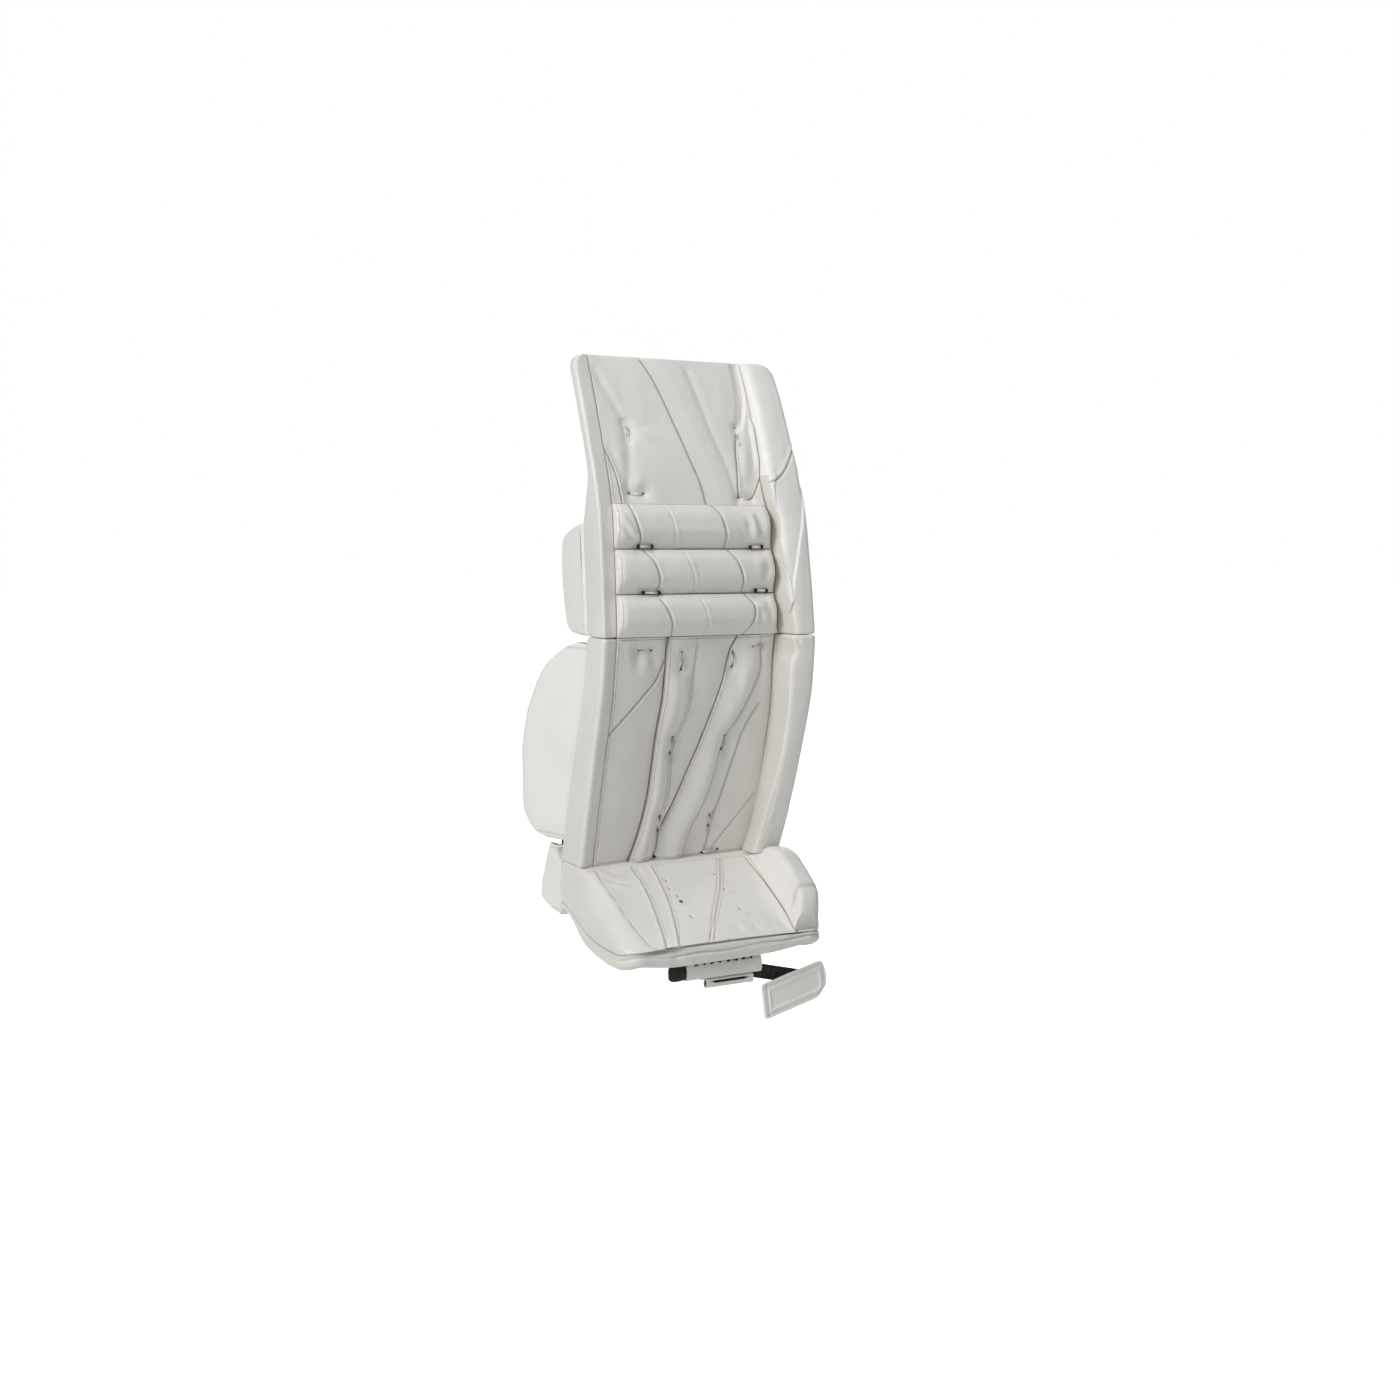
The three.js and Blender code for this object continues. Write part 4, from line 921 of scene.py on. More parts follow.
coreLook = {"borderSeam": 13.0, "middle": 10.0, "channel": 42.0, "end": 3.0}
for name, (low, high) in (("thigh_core", upperSpan), ("shin_core", lowerSpan)):
    zs, inset = endRounding(low, high, 2.0, coreLook["end"])
    left = np.full_like(zs, pad["edge"] + 0.2)
    right = pad["half"] - cornerInset(zs)
    front, back = coreFrontAt(zs), backAt(zs)
    section = roundSection(cornerRows((left, front), (right, front), (right, back), (left, back)),
                           [0.5, 0.5, 6.0, 0.8], [4, 12, 130, 4])
    x, y, z = section[..., 0], section[..., 1], np.broadcast_to(zs[:, None], section.shape[:2])
    onBack = ease(-3, -0.5, y - back[:, None]) * ease(0, 6, x - left[:, None])
    border = np.minimum(np.minimum(x - left[:, None], right[:, None] - x), np.minimum(z - low, high - z))
    seam = np.abs(border - coreLook["borderSeam"])
    channel = np.abs(np.abs(x - coreLook["middle"]) - coreLook["channel"]) + 40 * (border < coreLook["borderSeam"])
    y = y - onBack * (1.7 * bump(seam, 1.6) + 1.5 * bump(channel, 1.8) - 0.5 * waves(x, z, 80, 51) - 0.2)
    # painted shade down in the lining's border seam and channels
    paintedShade = onBack * np.maximum(0.5 * bump(seam, 1.1), 0.45 * bump(channel, 1.1))
    section = drawIn(np.stack([x, y], axis=-1), inset * 0.98)
    # nor is the front drawn in, where the faces and the roll lie on it
    section[..., 1] += (y - section[..., 1]) * ease(1.0, 0.2, y - front[:, None])
    slab = loft(name + "_cover", atHeights(section, zs), paintedShade=paintedShade, material=coverCloth)
    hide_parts(name)
print("cores covered")


# Boot: a roof that slopes to the toe, a slanted inner side, an upright outer side, hollow for the skate

boot = {
    "break": 24.0, "back": 92.0, "reach": 139.0, "top": -295.4, "drop": 78.0, "wall": 24.0,
    "corner": 28.0, "ridge": 18.0, "rise": 46.0,
}
bootOuts = [(boot["break"] - boot["back"]) / boot["reach"], -0.25, 0, 0.18, 0.5, 0.8, 0.88, 0.94, 0.98, 1]


def bootOut(y):
    return (boot["break"] - np.asarray(y, float)) / boot["reach"]


def bootRoof(y):
    return boot["top"] - boot["drop"] * curveAt([-0.5, -0.25, 0, 0.18, 0.5, 0.8, 0.94, 1],
                                                [0, 0, 0.0, 0.19, 0.5, 0.79, 0.93, 0.985], bootOut(y))


def bootSeamZ(y):
    return boot["top"] - boot["drop"] * curveAt(bootOuts, [0.69, 0.79, 0.95, 1.04, 1.09, 1.08, 1.06, 1.03, 1.01, 1.0],
                                                bootOut(y))


def bootRim(y):
    return boot["top"] - boot["drop"] * curveAt(bootOuts, [0.81, 0.91, 1.18, 1.28, 1.34, 1.33, 1.31, 1.29, 1.26,
                                                           1.24], bootOut(y))


toeY = boot["break"] - boot["reach"]


def bootSide(y):
    # half the boot's width: it rounds in at the toe corners
    near = np.clip(1 - (y - toeY) / boot["corner"], 0, 1)
    return pad["half"] - boot["corner"] * (1 - np.sqrt(np.clip(1 - near**2, 0, 1))) * 0.96


bootSeams = {  # in plan, as (x, y): how deep and which side is raised
    "inner": ([(-75, 20), (-69, -4), (-73, -53), (-80, -92), (-86, -116)], 1.7, 1),
    "middle": ([(-45, 20), (-44, -7), (-49, -48), (-59, -87), (-68, -116)], 1.7, 1),
    "doubleLeft": ([(52, 20), (30, -24), (-5, -77), (-28, -116)], 0.9, 0),
    "doubleRight": ([(58, 20), (36, -24), (1, -77), (-22, -116)], 0.9, 0),
    "outer": ([(90, 22), (93, 12), (99, -25), (100, -73), (97, -116)], 2.0, 0),
}
bootFolds = [  # (x, y) to (x, y), width, height
    ((-118, 12), (-98, 2), 3.2, 2.2), ((-112, 4), (-92, -6), 3.0, -2.0), ((-108, -6), (-92, -14), 3.0, 1.6),
    ((-96, 14), (-60, 16), 4.5, 2.6), ((-100, 5), (-66, 8), 4.0, -1.6), ((-56, 16), (-30, 12), 4, 1.4),
    ((20, 14), (60, 15), 5, 1.4), ((30, -96), (30, -108), 5, 1.0), ((70, -98), (78, -110), 4, 1.6),
    ((44, -94), (48, -108), 4, -1.2), ((84, -92), (88, -108), 4, -1.4), ((60, -84), (64, -104), 6, 1.0),
]
bootHoles = [(35, -7), (35, -34), (39, -68), (-36, -10), (-38, -24), (-33, -37), (-32, -72)]


def bootRelief(x, y):
    # how far the roof sinks at a point in plan, and the painted shade along its seams
    down = 0.6 * waves(x, y, 52, 61) - 2.4 * np.sin(np.pi * np.clip((x - pad["edge"]) / 215, 0, 1)) * ease(24, 6, y)
    down = down + 3.4 * bump(y - 24, 5)
    paintedShade = np.zeros(x.shape)
    for path, depth, lip in bootSeams.values():
        far, side, _ = toPath(x, y, smoothPath(path, 4))
        down = down + depth * bump(far, 1.3) - 0.6 * lip * bump(far - 3.2, 2.6) * (side > 0)
        paintedShade = np.maximum(paintedShade, 0.42 * depth * bump(far, 0.9))
    for hx, hy in bootHoles:
        down = down + 1.5 * bump(np.hypot(x - hx, y - hy), 2.6)
    return down - foldLift(x, y, bootFolds), paintedShade


ys = np.concatenate([np.linspace(boot["back"], boot["break"] + 10, 40), np.linspace(boot["break"] + 9, toeY + 6, 150),
                     toeY + 6 * (1 - np.sin(np.radians(np.linspace(0, 90, 12)[1:])))])
side = bootSide(ys)
roof, seam = bootRoof(ys), bootSeamZ(ys)
lean = boot["ridge"] * np.clip(0.4 + bootOut(ys) * 1.4, 0.25, 1) * curveAt([0, 0.8, 1], [1, 1, 0.85], bootOut(ys))
crest = np.maximum(roof, seam + 0.6)
bottomZ = seam + 0.3
# the hollow's ceiling, which meets the bottom ahead of the front wall
ceiling = np.where(bootOut(ys) < 1 - boot["wall"] / boot["reach"], roof - boot["wall"], bottomZ + 0.05)
ceiling = np.maximum(ceiling, bottomZ + 0.05)
outline = roundSection(cornerRows(
    (-side + boot["wall"], bottomZ), (-side, bottomZ), (-side + lean * 0.25, bottomZ + (crest - bottomZ) * 0.55),
    (-side + lean, crest), (side, crest), (side, bottomZ), (side - boot["wall"], bottomZ),
    (side - boot["wall"], ceiling), (-side + boot["wall"], ceiling),
), [0.6, 2.0, 14.0, 9.0, 3.0, 2.0, 0.6, 6.0, 6.0], [4, 14, 12, 220, 16, 4, 8, 24, 8])
x, z = outline[..., 0], outline[..., 1]
y = np.broadcast_to(ys[:, None], x.shape)
relief, paintedShade = bootRelief(x, y)
onRoof = ease(-6, -1, z - crest[:, None]) * ease(0, 10, x + side[:, None] - lean[:, None] * 0.5)
onSlant = (1 - onRoof) * (x < -60) * ease(1.5, 7, z - bottomZ[:, None]) * (x < -side[:, None] + lean[:, None] + 3)
z = z - relief * onRoof
upSlant = np.clip((z - bottomZ[:, None]) / np.maximum(crest - bottomZ, 1)[:, None], 0, 1)
x = x - onSlant * (2.0 * np.sin(np.pi * upSlant) - 0.8 * waves(y, z, 30, 63)) * 0.8
far, _, _ = toPath(x, y, smoothPath([(-122, 22), (-118, -20), (-113, -70), (-104, -108), (-96, -116)], 4))
ridge = bump(far, 1.2) * (z > bottomZ[:, None] + 1)
z = z - 1.3 * ridge * onRoof
# painted shade along the seams and beside the ridge on the roof
paintedShade = np.maximum(paintedShade * onRoof, 0.5 * ridge)
shell = loft("boot_cover", np.stack([x, y, z], axis=-1), paintedShade=paintedShade, material=whiteLeather)
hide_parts("boot")
print("boot made")

# Hem: a padded binding round the boot's lower edge, in plan a U, its section carried along that path
hem = {"thick": 24.0, "puff": 2.2}
quarter = np.radians(np.linspace(0, 90, 34))
centreX, centreY = pad["half"] - boot["corner"], toeY + boot["corner"]
leftY = np.linspace(boot["back"], centreY, 110)
frontX = np.linspace(-centreX, centreX, 190)
path = np.concatenate([
    np.stack([np.full(110, -pad["half"]), leftY], 1),
    np.stack([-centreX - boot["corner"] * np.cos(quarter), centreY - boot["corner"] * np.sin(quarter)], 1)[1:-1],
    np.stack([frontX, np.full(190, toeY)], 1),
    np.stack([centreX + boot["corner"] * np.sin(quarter), centreY - boot["corner"] * np.cos(quarter)], 1)[1:-1],
    np.stack([np.full(110, pad["half"]), leftY[::-1]], 1),
])
along = np.gradient(path, axis=0)
along /= np.linalg.norm(along, axis=1, keepdims=True)
outward = np.stack([-along[:, 1], along[:, 0]], 1)
outward = np.where(((path - [0, 60]) * outward).sum(axis=1, keepdims=True) < 0, -outward, outward)
run = runAlong(path)
topZ, rimZ = bootSeamZ(path[:, 1]) - 0.1, bootRim(path[:, 1])
rimZ = rimZ + (3.0 * np.clip((path[:, 0] + 40) / 180, 0, 1)
               - 6.0 * ease(-135, -70, path[:, 0]) * ease(135, 50, path[:, 0])) * (path[:, 1] < centreY)
tall = topZ - rimZ
section = roundSection(cornerRows(
    (0.0, topZ), (0.6, rimZ), (-hem["thick"], rimZ), (-hem["thick"], topZ),
), [3.2, 6.5, 4.0, 0.5], [22, 12, 8, 12], steps=8)
out, z = section[..., 0], section[..., 1]
s = np.broadcast_to(run[:, None], out.shape)
drop = np.clip((topZ[:, None] - z) / tall[:, None], 0, 1)
onFace = ease(-7, -2, out)
px = np.broadcast_to(path[:, :1], out.shape)
frontPart = ease(centreY + 10, centreY - 18, np.broadcast_to(path[:, 1:], out.shape))
bulge = hem["puff"] * np.sin(np.pi * drop) ** 0.8 * 0.9
foldLine = 0.34 + 0.05 * np.sin(s / 37.0) + 0.04 * np.sin(s / 13.0 + 1)
fold = 2.4 * bump((drop - foldLine) * tall[:, None], 1.9) * (0.35 + 0.65 * frontPart) * (0.6 + 0.4 * np.sin(s / 21.0))
secondLine = 0.68 + 0.06 * np.sin(s / 29.0 + 2)
second = 0.8 * bump((drop - secondLine) * tall[:, None], 2.2) * np.clip(np.sin(s / 47.0 + 0.6), 0, 1)
pleats = (0.9 * np.clip(np.sin(s / 5.2 + drop * 2.4), -0.2, 1) * bump(px + 88, 22) * frontPart
          + 0.5 * np.sin(s / 6.1 + 3 * drop) * bump(px - 75, 26) * frontPart)
recess = bump(px + 96, 34) * frontPart * bump((drop - 0.1) * tall[:, None], 4.0)
piping = bump(px + 96, 40) * frontPart * bump((drop - 0.02) * tall[:, None], 2.0)
out = out - onFace * (5.5 * recess - 1.2 * piping)
out = out - onFace * 3.0 * (0.3 + 0.7 * frontPart) * drop ** 1.2
out = out + onFace * (bulge - fold - second - pleats * 0.8 + 0.5 * waves(s, z, 34, 65))
ring = np.stack([px + outward[:, None, 0] * out, np.broadcast_to(path[:, 1:], out.shape) + outward[:, None, 1] * out,
                 z], axis=-1)
# painted shade in the recess, under the fold and along the top edge
paintedShade = onFace * np.maximum(0.8 * recess, 0.5 * bump((drop - foldLine) * tall[:, None], 1.0) * frontPart)
paintedShade = np.maximum(paintedShade, onFace * 0.5 * bump(drop * tall[:, None], 1.1))
binding = loft("boot_hem_cover", ring, paintedShade=paintedShade, material=whiteLeather)
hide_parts("boot_hem")

# Boot's outer roll: a wedge-shaped bolster on the roof's outer edge
bolster = {"left": 98.0}
outs = np.concatenate([[0.06, 0.075, 0.1], np.linspace(0.13, 0.93, 70), 0.985
                       - 0.055 * (1 - np.sin(np.radians(np.linspace(0, 90, 8)[1:])))])
rise = boot["rise"] * curveAt([0.06, 0.15, 0.2, 0.33, 0.5, 0.68, 0.85, 0.94, 0.985],
                              [0.1, 0.3, 0.55, 0.84, 1, 0.96, 0.88, 0.8, 0.52], outs)
ys = boot["break"] - boot["reach"] * outs
base = bootRoof(ys) + 0.4
right = bootSide(ys) - 1.5
left = np.full_like(ys, bolster["left"]) - 4.0 * ease(0.7, 1, outs)
top = base + rise
section = roundSection(cornerRows(
    (left, base), (left + (right - left) * 0.3, top), (right, top - 1), (right + 0.5, base),
), [2.0, 9.0, 7.0, 0.6], [26, 20, 18, 8], steps=8)
x, z = section[..., 0], section[..., 1]
y = np.broadcast_to(ys[:, None], x.shape)
high = np.clip((z - base[:, None]) / np.maximum(rise, 1)[:, None], 0, 1)
puff = np.sin(np.pi * high)
x = x - 1.6 * puff * ease(8, 2, x - left[:, None]) + 0.9 * puff * ease(6, 1, right[:, None] - x)
z = z + 1.4 * np.sin(np.pi * np.clip((x - left[:, None]) / (right - left)[:, None], 0, 1)) * ease(0.6, 1, high)
cornerFold = bump(y - (toeY + 22), 2.4) * ease(0.15, 0.6, high)
x = x + 1.4 * cornerFold * ease(14, 4, x - left[:, None])
z = z - 1.0 * cornerFold * ease(0.7, 1, high) + 0.5 * waves(x, y, 26, 67) * high
# painted shade in the corner fold and along the foot where the bolster meets the roof
bolsterCover = loft("boot_outer_roll_cover", np.stack([x, y, z], axis=-1), paintedShade=0.4 * cornerFold
                    + 0.5 * bump(high, 0.05), material=whiteLeather)
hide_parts("boot_outer_roll")
print("hem and boot roll made")


# Knee block: a firm bevelled block on the pad's inner side, behind the knee

kneeBlock = {"width": 58.0, "height": 139.0, "depth": 82.0, "edge": 6.0, "puff": 1.6, "middle": (45, 70)}
blockOutline = np.array([
    (0, 0), (0.4, 0), (0.7, 0.02), (0.82, 0.07), (0.93, 0.28), (1, 0.54), (0.99, 0.85), (0.82, 0.91), (0.35,
                                                                                                       0.98), (0, 1),
])
blockEdge, blockWidth = kneeBlock["edge"], kneeBlock["width"]
turn = np.radians(np.linspace(0, 90, 9))
xs = np.concatenate([blockEdge * (1 - np.cos(turn)), np.linspace(blockEdge, blockWidth - blockEdge, 28)[1:-1],
                     blockWidth - blockEdge * (1 - np.cos(turn[::-1]))])
inset = np.concatenate([blockEdge * (1 - np.sin(turn)), np.zeros(26), blockEdge * (1 - np.sin(turn[::-1]))])
corners = []
for x, shrink in zip(xs, inset):
    z = 1 + shrink + (kneeBlock["height"] - 2 * shrink) * blockOutline[:, 1]
    start = backAt(z) + pad["seat"]
    corners.append(np.stack([start + (kneeBlock["depth"] - shrink - start) * blockOutline[:, 0], z], axis=1))
section = roundSection(np.array(corners), [0.5, 6, 9, 8, 14, 16, 9, 9, 10, 0.5],
                       [16, 12, 6, 10, 12, 14, 8, 14, 12, 40], steps=5)
y, z = section[..., 0], section[..., 1]
fromOuter = np.broadcast_to(xs[:, None], y.shape)
y = np.maximum(y, backAt(z) + pad["seat"] + 7.0 * bump(fromOuter, 5.0))
x = np.broadcast_to(xs[:, None] - pad["half"], y.shape)
fromSide = np.minimum(xs, kneeBlock["width"] - xs)[:, None]
border = bump(fromSide - 9.0, 1.1) * ease(backAt(z) + 6, backAt(z) + 12, y)
away = np.stack([y - kneeBlock["middle"][0], z - kneeBlock["middle"][1]], axis=-1)
away = away / np.linalg.norm(away, axis=-1, keepdims=True)
offPad = ease(0, 12, y - backAt(z))
swell = (kneeBlock["puff"] * np.sin(np.pi * xs / kneeBlock["width"])[:, None] - border) * offPad
y, z = y + away[..., 0] * swell, z + away[..., 1] * swell + 0.4 * waves(x * 2, y, 40, 71) * offPad
# painted shade along the sewn border
block = loft("knee_block_cover", np.stack([x, y, z], axis=-1), paintedShade=0.55 * border, material=gussetLeather, sharp=55)
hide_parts("knee_block")


# Calf wings and ankle flap: padded leaves that leave the pad's back at an edge and flare outwards

def leaf(name, nodes, zs, inset, root, reach, flare, thickness, side, seed, puff=1.6, columns=70, border=7.0,
         material=gussetLeather):
    # at each height a flat section from the root to the free edge, outer face then inner face, its free
    # edge rounded; both faces swell a little inside a sewn border
    share = np.linspace(0, 1, columns)[None, :]
    depth = reach[:, None] * share
    nose = thickness * 0.5 * np.clip(1 - (reach[:, None] - depth) / (thickness * 0.75), 0, 1) ** 2
    z = np.broadcast_to(zs[:, None], depth.shape)
    edge = np.minimum(reach[:, None] - depth, np.minimum(z - zs.min(), zs.max() - z))
    quilt = puff * ease(0, 26, edge) - 0.9 * bump(edge - border, 1.3)
    rough = 0.7 * waves(depth, z, 55, seed)
    outerX = pad["half"] + flare[:, None] * share - nose + (quilt + rough) * ease(0, 8, depth) * 0.8
    innerX = pad["half"] + flare[:, None] * share - thickness + nose - (quilt * 0.7) * ease(0, 8, depth)
    y = root[:, None] + depth
    outer = np.stack([outerX, y], axis=-1)
    inner = np.stack([innerX, y], axis=-1)[:, ::-1]
    section = drawIn(np.concatenate([outer, inner], axis=1), np.minimum(inset * 0.9, thickness * 0.3))
    # the root reaches into the pad, past its rounded corner, so that less of a gap shows beside it
    section[..., 1] -= 4.5 * ease(3, 0, np.concatenate([depth, depth[:, ::-1]], axis=1))
    section[..., 0] *= side
    # painted shade along the sewn border
    seamLine = 0.35 * bump(edge - border, 1.0)
    paintedShade = np.concatenate([seamLine, seamLine[:, ::-1]], axis=1)
    piece = loft(name, atHeights(section, zs), paintedShade=paintedShade, material=material, sharp=60)
    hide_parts(*nodes)
    return piece


wing = {"height": 261.0, "top": -8.0, "reach": 104.0, "flare": 34.0, "thickness": 12.0}
for side, label in ((-1, "inner"), (1, "outer")):
    zs, inset = endRounding(wing["top"] - wing["height"], wing["top"], 2.2, 4.5)
    share = curveAt([0, 0.024, 0.126, 0.304, 0.518, 0.727, 0.86, 0.93, 0.98, 1],
                    [0.2, 0.4, 0.75, 0.96, 1, 0.91, 0.84, 0.72, 0.56, 0.38],
                    (wing["top"] - zs) / wing["height"])
    leaf(f"calf_wing_{label}_cover", [f"calf_wing_{label}"], zs, inset, backAt(zs) + pad["seat"],
         wing["reach"] * share,
         wing["flare"] * share, wing["thickness"], side, 81)

flapLook = {"height": 90.0, "top": -278.0, "reach": 58.0, "flare": 8.0, "thickness": 9.0, "notch": 14.0}
zs, inset = endRounding(flapLook["top"] - flapLook["height"], flapLook["top"], 1.2, 3.5)
down = (flapLook["top"] - zs) / flapLook["height"]
share = curveAt([0, 0.14, 0.2, 0.47, 0.83, 0.93, 1], [0.58, 0.66, 0.71, 0.86, 1, 0.7, 0.25], down)
start = flapLook["notch"] * (1 - ease(0.12, 0.22, down)) + pad["seat"]
leaf("ankle_flap_cover", ["ankle_flap"], zs, inset, boot["back"] + start, flapLook["reach"] * share - start,
     flapLook["flare"] * share,
     flapLook["thickness"], -1, 83, puff=0.9, columns=50, border=5.0)
print("knee block, calf wings and ankle flap made")


# Straps: flat webbing carried along a path, its width upright

def webbing(name, path, width, thickness, nodes):
    # a rounded flat section carried along the path; each path row is x, y, z of the band's middle
    route = smoothPath(path, 1.6)
    way = np.gradient(route, axis=0)
    way = way / np.linalg.norm(way, axis=1, keepdims=True)
    outward = np.stack([way[:, 1], -way[:, 0], np.zeros(len(way))], axis=1)
    outward = outward / np.maximum(np.linalg.norm(outward, axis=1, keepdims=True), 1e-6)
    upward = np.cross(outward, way)
    upward = upward * np.sign(upward[:, 2:3] + 1e-9)
    flat = roundSection(np.array([[(-width / 2, -thickness / 2), (width / 2, -thickness / 2),
                                   (width / 2, thickness / 2), (-width / 2, thickness / 2)]]),
                        [thickness * 0.45] * 4, [12, 1, 12, 1], steps=4)[0]
    ribs = 0.12 * np.cos(2 * np.pi * flat[:, 0] / 2.1)
    flat = np.stack([flat[:, 0], flat[:, 1] + ribs * np.sign(flat[:, 1])], axis=1)
    rings = route[:, None, :] + upward[:, None, :] * flat[None, :, :1] + outward[:, None, :] * flat[None, :, 1:]
    band = loft(name, rings, material=blackWebbing, slot=webbingSlot)
    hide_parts(*nodes)
    return band


ankleStrap = {"width": 25.0, "thickness": 2.4, "reach": 88.0, "z": -288.0}
way = [(0.84, 0), (0.87, 0.25), (0.84, 0.55), (0.72, 0.8), (0.5, 0.93), (0.25, 0.99)]
strapStart = boot["back"] + pad["seat"]
way = [(-a, b) for a, b in way] + [(0, 1)] + way[::-1]
strapPath = [(pad["half"] * a, strapStart + ankleStrap["reach"] * b, ankleStrap["z"]) for a, b in way]
webbing("ankle_strap_band", strapPath, ankleStrap["width"], ankleStrap["thickness"], ["ankle_strap"])

# Toe attachment: a leather sleeve laced under the hem, its woven core, a small keeper, the strap and the tab
toe = {"height": 23.0, "depth": 16.0, "wall": 2.0, "y": toeY + 20.0}


def barSection(height, depth, power=0.72, count=64):
    turn = np.linspace(0, 2 * np.pi, count, endpoint=False)
    return np.stack([depth / 2 * np.sign(np.cos(turn)) * np.abs(np.cos(turn)) ** power,
                     height / 2 * np.sign(np.sin(turn)) * np.abs(np.sin(turn)) ** power], axis=1)


def nodeSpan(node):
    low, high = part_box(node)
    return np.array(low) * 1000, np.array(high) * 1000


def alongX(xs, sections, middle):
    # outlines in y and z, one or one a row, put at their places along x round a middle line
    sections = np.broadcast_to(sections, (len(xs),) + sections.shape[-2:])
    places = np.broadcast_to(xs[:, None, None], sections.shape[:2] + (1,))
    return np.concatenate([places, middle[1] + sections[..., :1], middle[2] + sections[..., 1:]], axis=-1)


def sleeveTube(name, node, wall, seed):
    # a leather tube along x: the outer wall out, the inner wall back
    low, high = nodeSpan(node)
    _, depth, height = high - low
    xs = np.linspace(low[0], high[0], 90)
    outer, inner = barSection(height, depth), barSection(height - 2 * wall, depth - 2 * wall)
    outX, outZ = xs[:, None], outer[None, :, 1]
    crease = 0.5 * waves(outX, outZ, 16, seed) + 0.4 * np.sin(outX / 7 + seed) * bump(outZ / height - 0.2, 0.3)
    away = outer / np.linalg.norm(outer, axis=1, keepdims=True)
    creased = outer[None] + away[None] * (crease[..., None] * 0.5 - 0.3)
    middle = (low + high) / 2
    rings = np.concatenate([alongX(xs, creased, middle), alongX(xs[::-1], inner, middle)])
    tube = loft(name, rings, cycle=True, material=whiteLeather, sharp=50)
    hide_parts(node)


def wovenBar(name, node, play):
    # a stuffed webbing bar with rounded ends, a little thinner than the node it stands for
    low, high = nodeSpan(node)
    xs, inset = endRounding(low[0], high[0], 1.5, 7.0)
    swell = 1 + 0.2 * ease(low[0] + 27, low[0] + 12, xs)
    _, depth, height = high - low - play
    section = drawIn(barSection(height, depth, 0.78)[None] * swell[:, None, None], inset * 0.9)
    bar = loft(name, alongX(xs, section, (low + high) / 2), material=blackWebbing, slot=webbingSlot)
    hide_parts(node)


sleeveTube("toe_sleeve_cover", "toe_sleeve", toe["wall"], 91)
wovenBar("toe_core_bar", "toe_core", 0.4)
wovenBar("toe_keeper_bar", "toe_keeper_core", 0.3)

# Keeper: a leather loop whose front is slit lengthwise, the slit shut at both ends and open over the webbing
low, high = nodeSpan("toe_keeper")
keeper = {"wall": 1.5, "slot": 5.2, "power": 0.72}
xs = np.linspace(low[0], high[0], 80)
half = (high - low) / 2
opening = keeper["slot"] / 2 * np.clip(np.sin(np.pi * (xs - xs[0]) / (xs[-1] - xs[0])) * 2.6 - 0.5, 0, 1)
lipTurn = np.arcsin(np.clip((opening + 0.05) / half[2], 0, 1) ** (1 / keeper["power"]))
turn = np.pi - 0.35 + lipTurn[:, None] + (2 * np.pi - 2 * lipTurn[:, None]) * np.linspace(0, 1, 72)


def keeperWall(inset):
    c, s = np.cos(turn), np.sin(turn)
    return np.stack([(half[1] - inset) * np.sign(c) * np.abs(c) ** keeper["power"],
                     (half[2] - inset) * np.sign(s) * np.abs(s) ** keeper["power"]], axis=-1)


outerWall = keeperWall(0.2 - 0.3 * waves(np.broadcast_to(xs[:, None], turn.shape), turn * 4, 12, 77))
innerWall = keeperWall(keeper["wall"])
section = np.concatenate([outerWall, innerWall[:, ::-1]], axis=1)
shut = (outerWall + innerWall) / 2
shut = np.concatenate([shut, shut[:, ::-1]], axis=1)
section = np.concatenate([shut[:1], section, shut[-1:]])
xs = np.concatenate([[xs[0] - 0.4], xs, [xs[-1] + 0.4]])
keeperCover = loft("toe_keeper_cover", alongX(xs, section, (low + high) / 2), caps=False, material=whiteLeather,
                   sharp=50)
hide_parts("toe_keeper")

toeStrap = {"width": 19.0, "thickness": 2.2, "tail": 26.0, "reach": 142.0, "drop": 6.0, "fall": 30.0, "turn": 5.0,
            "twist": 2.0, "fold": 22.0}
strapY = toe["y"] + toe["depth"] / 2 + pad["seat"] + toeStrap["thickness"] / 2
sleeveMiddle = (nodeSpan("toe_sleeve")[0][2] + nodeSpan("toe_sleeve")[1][2]) / 2


def strapZ(x):
    past = max(0, (x - toeStrap["tail"]) / (toeStrap["reach"] - toeStrap["tail"]))
    return sleeveMiddle - toeStrap["drop"] - toeStrap["fall"] * past


reach, bend = toeStrap["reach"], toeStrap["turn"]
endZ = strapZ(reach)
route = [(x, strapY, strapZ(x)) for x in (-26, 0, 26, 55, 84, 113, 135, reach)]
for angle in (30, 60, 90, 120, 150, 180):
    a = math.radians(angle)
    route.append((reach + bend * math.sin(a), strapY - bend + bend * math.cos(a), endZ
                  - angle / 180 * toeStrap["twist"]))
route += [(reach - toeStrap["fold"] / 2, strapY - 2 * bend, endZ - 2.5),
          (reach - toeStrap["fold"], strapY - 2 * bend, endZ - 3)]
webbing("toe_strap_band", route, toeStrap["width"], toeStrap["thickness"], ["toe_strap"])

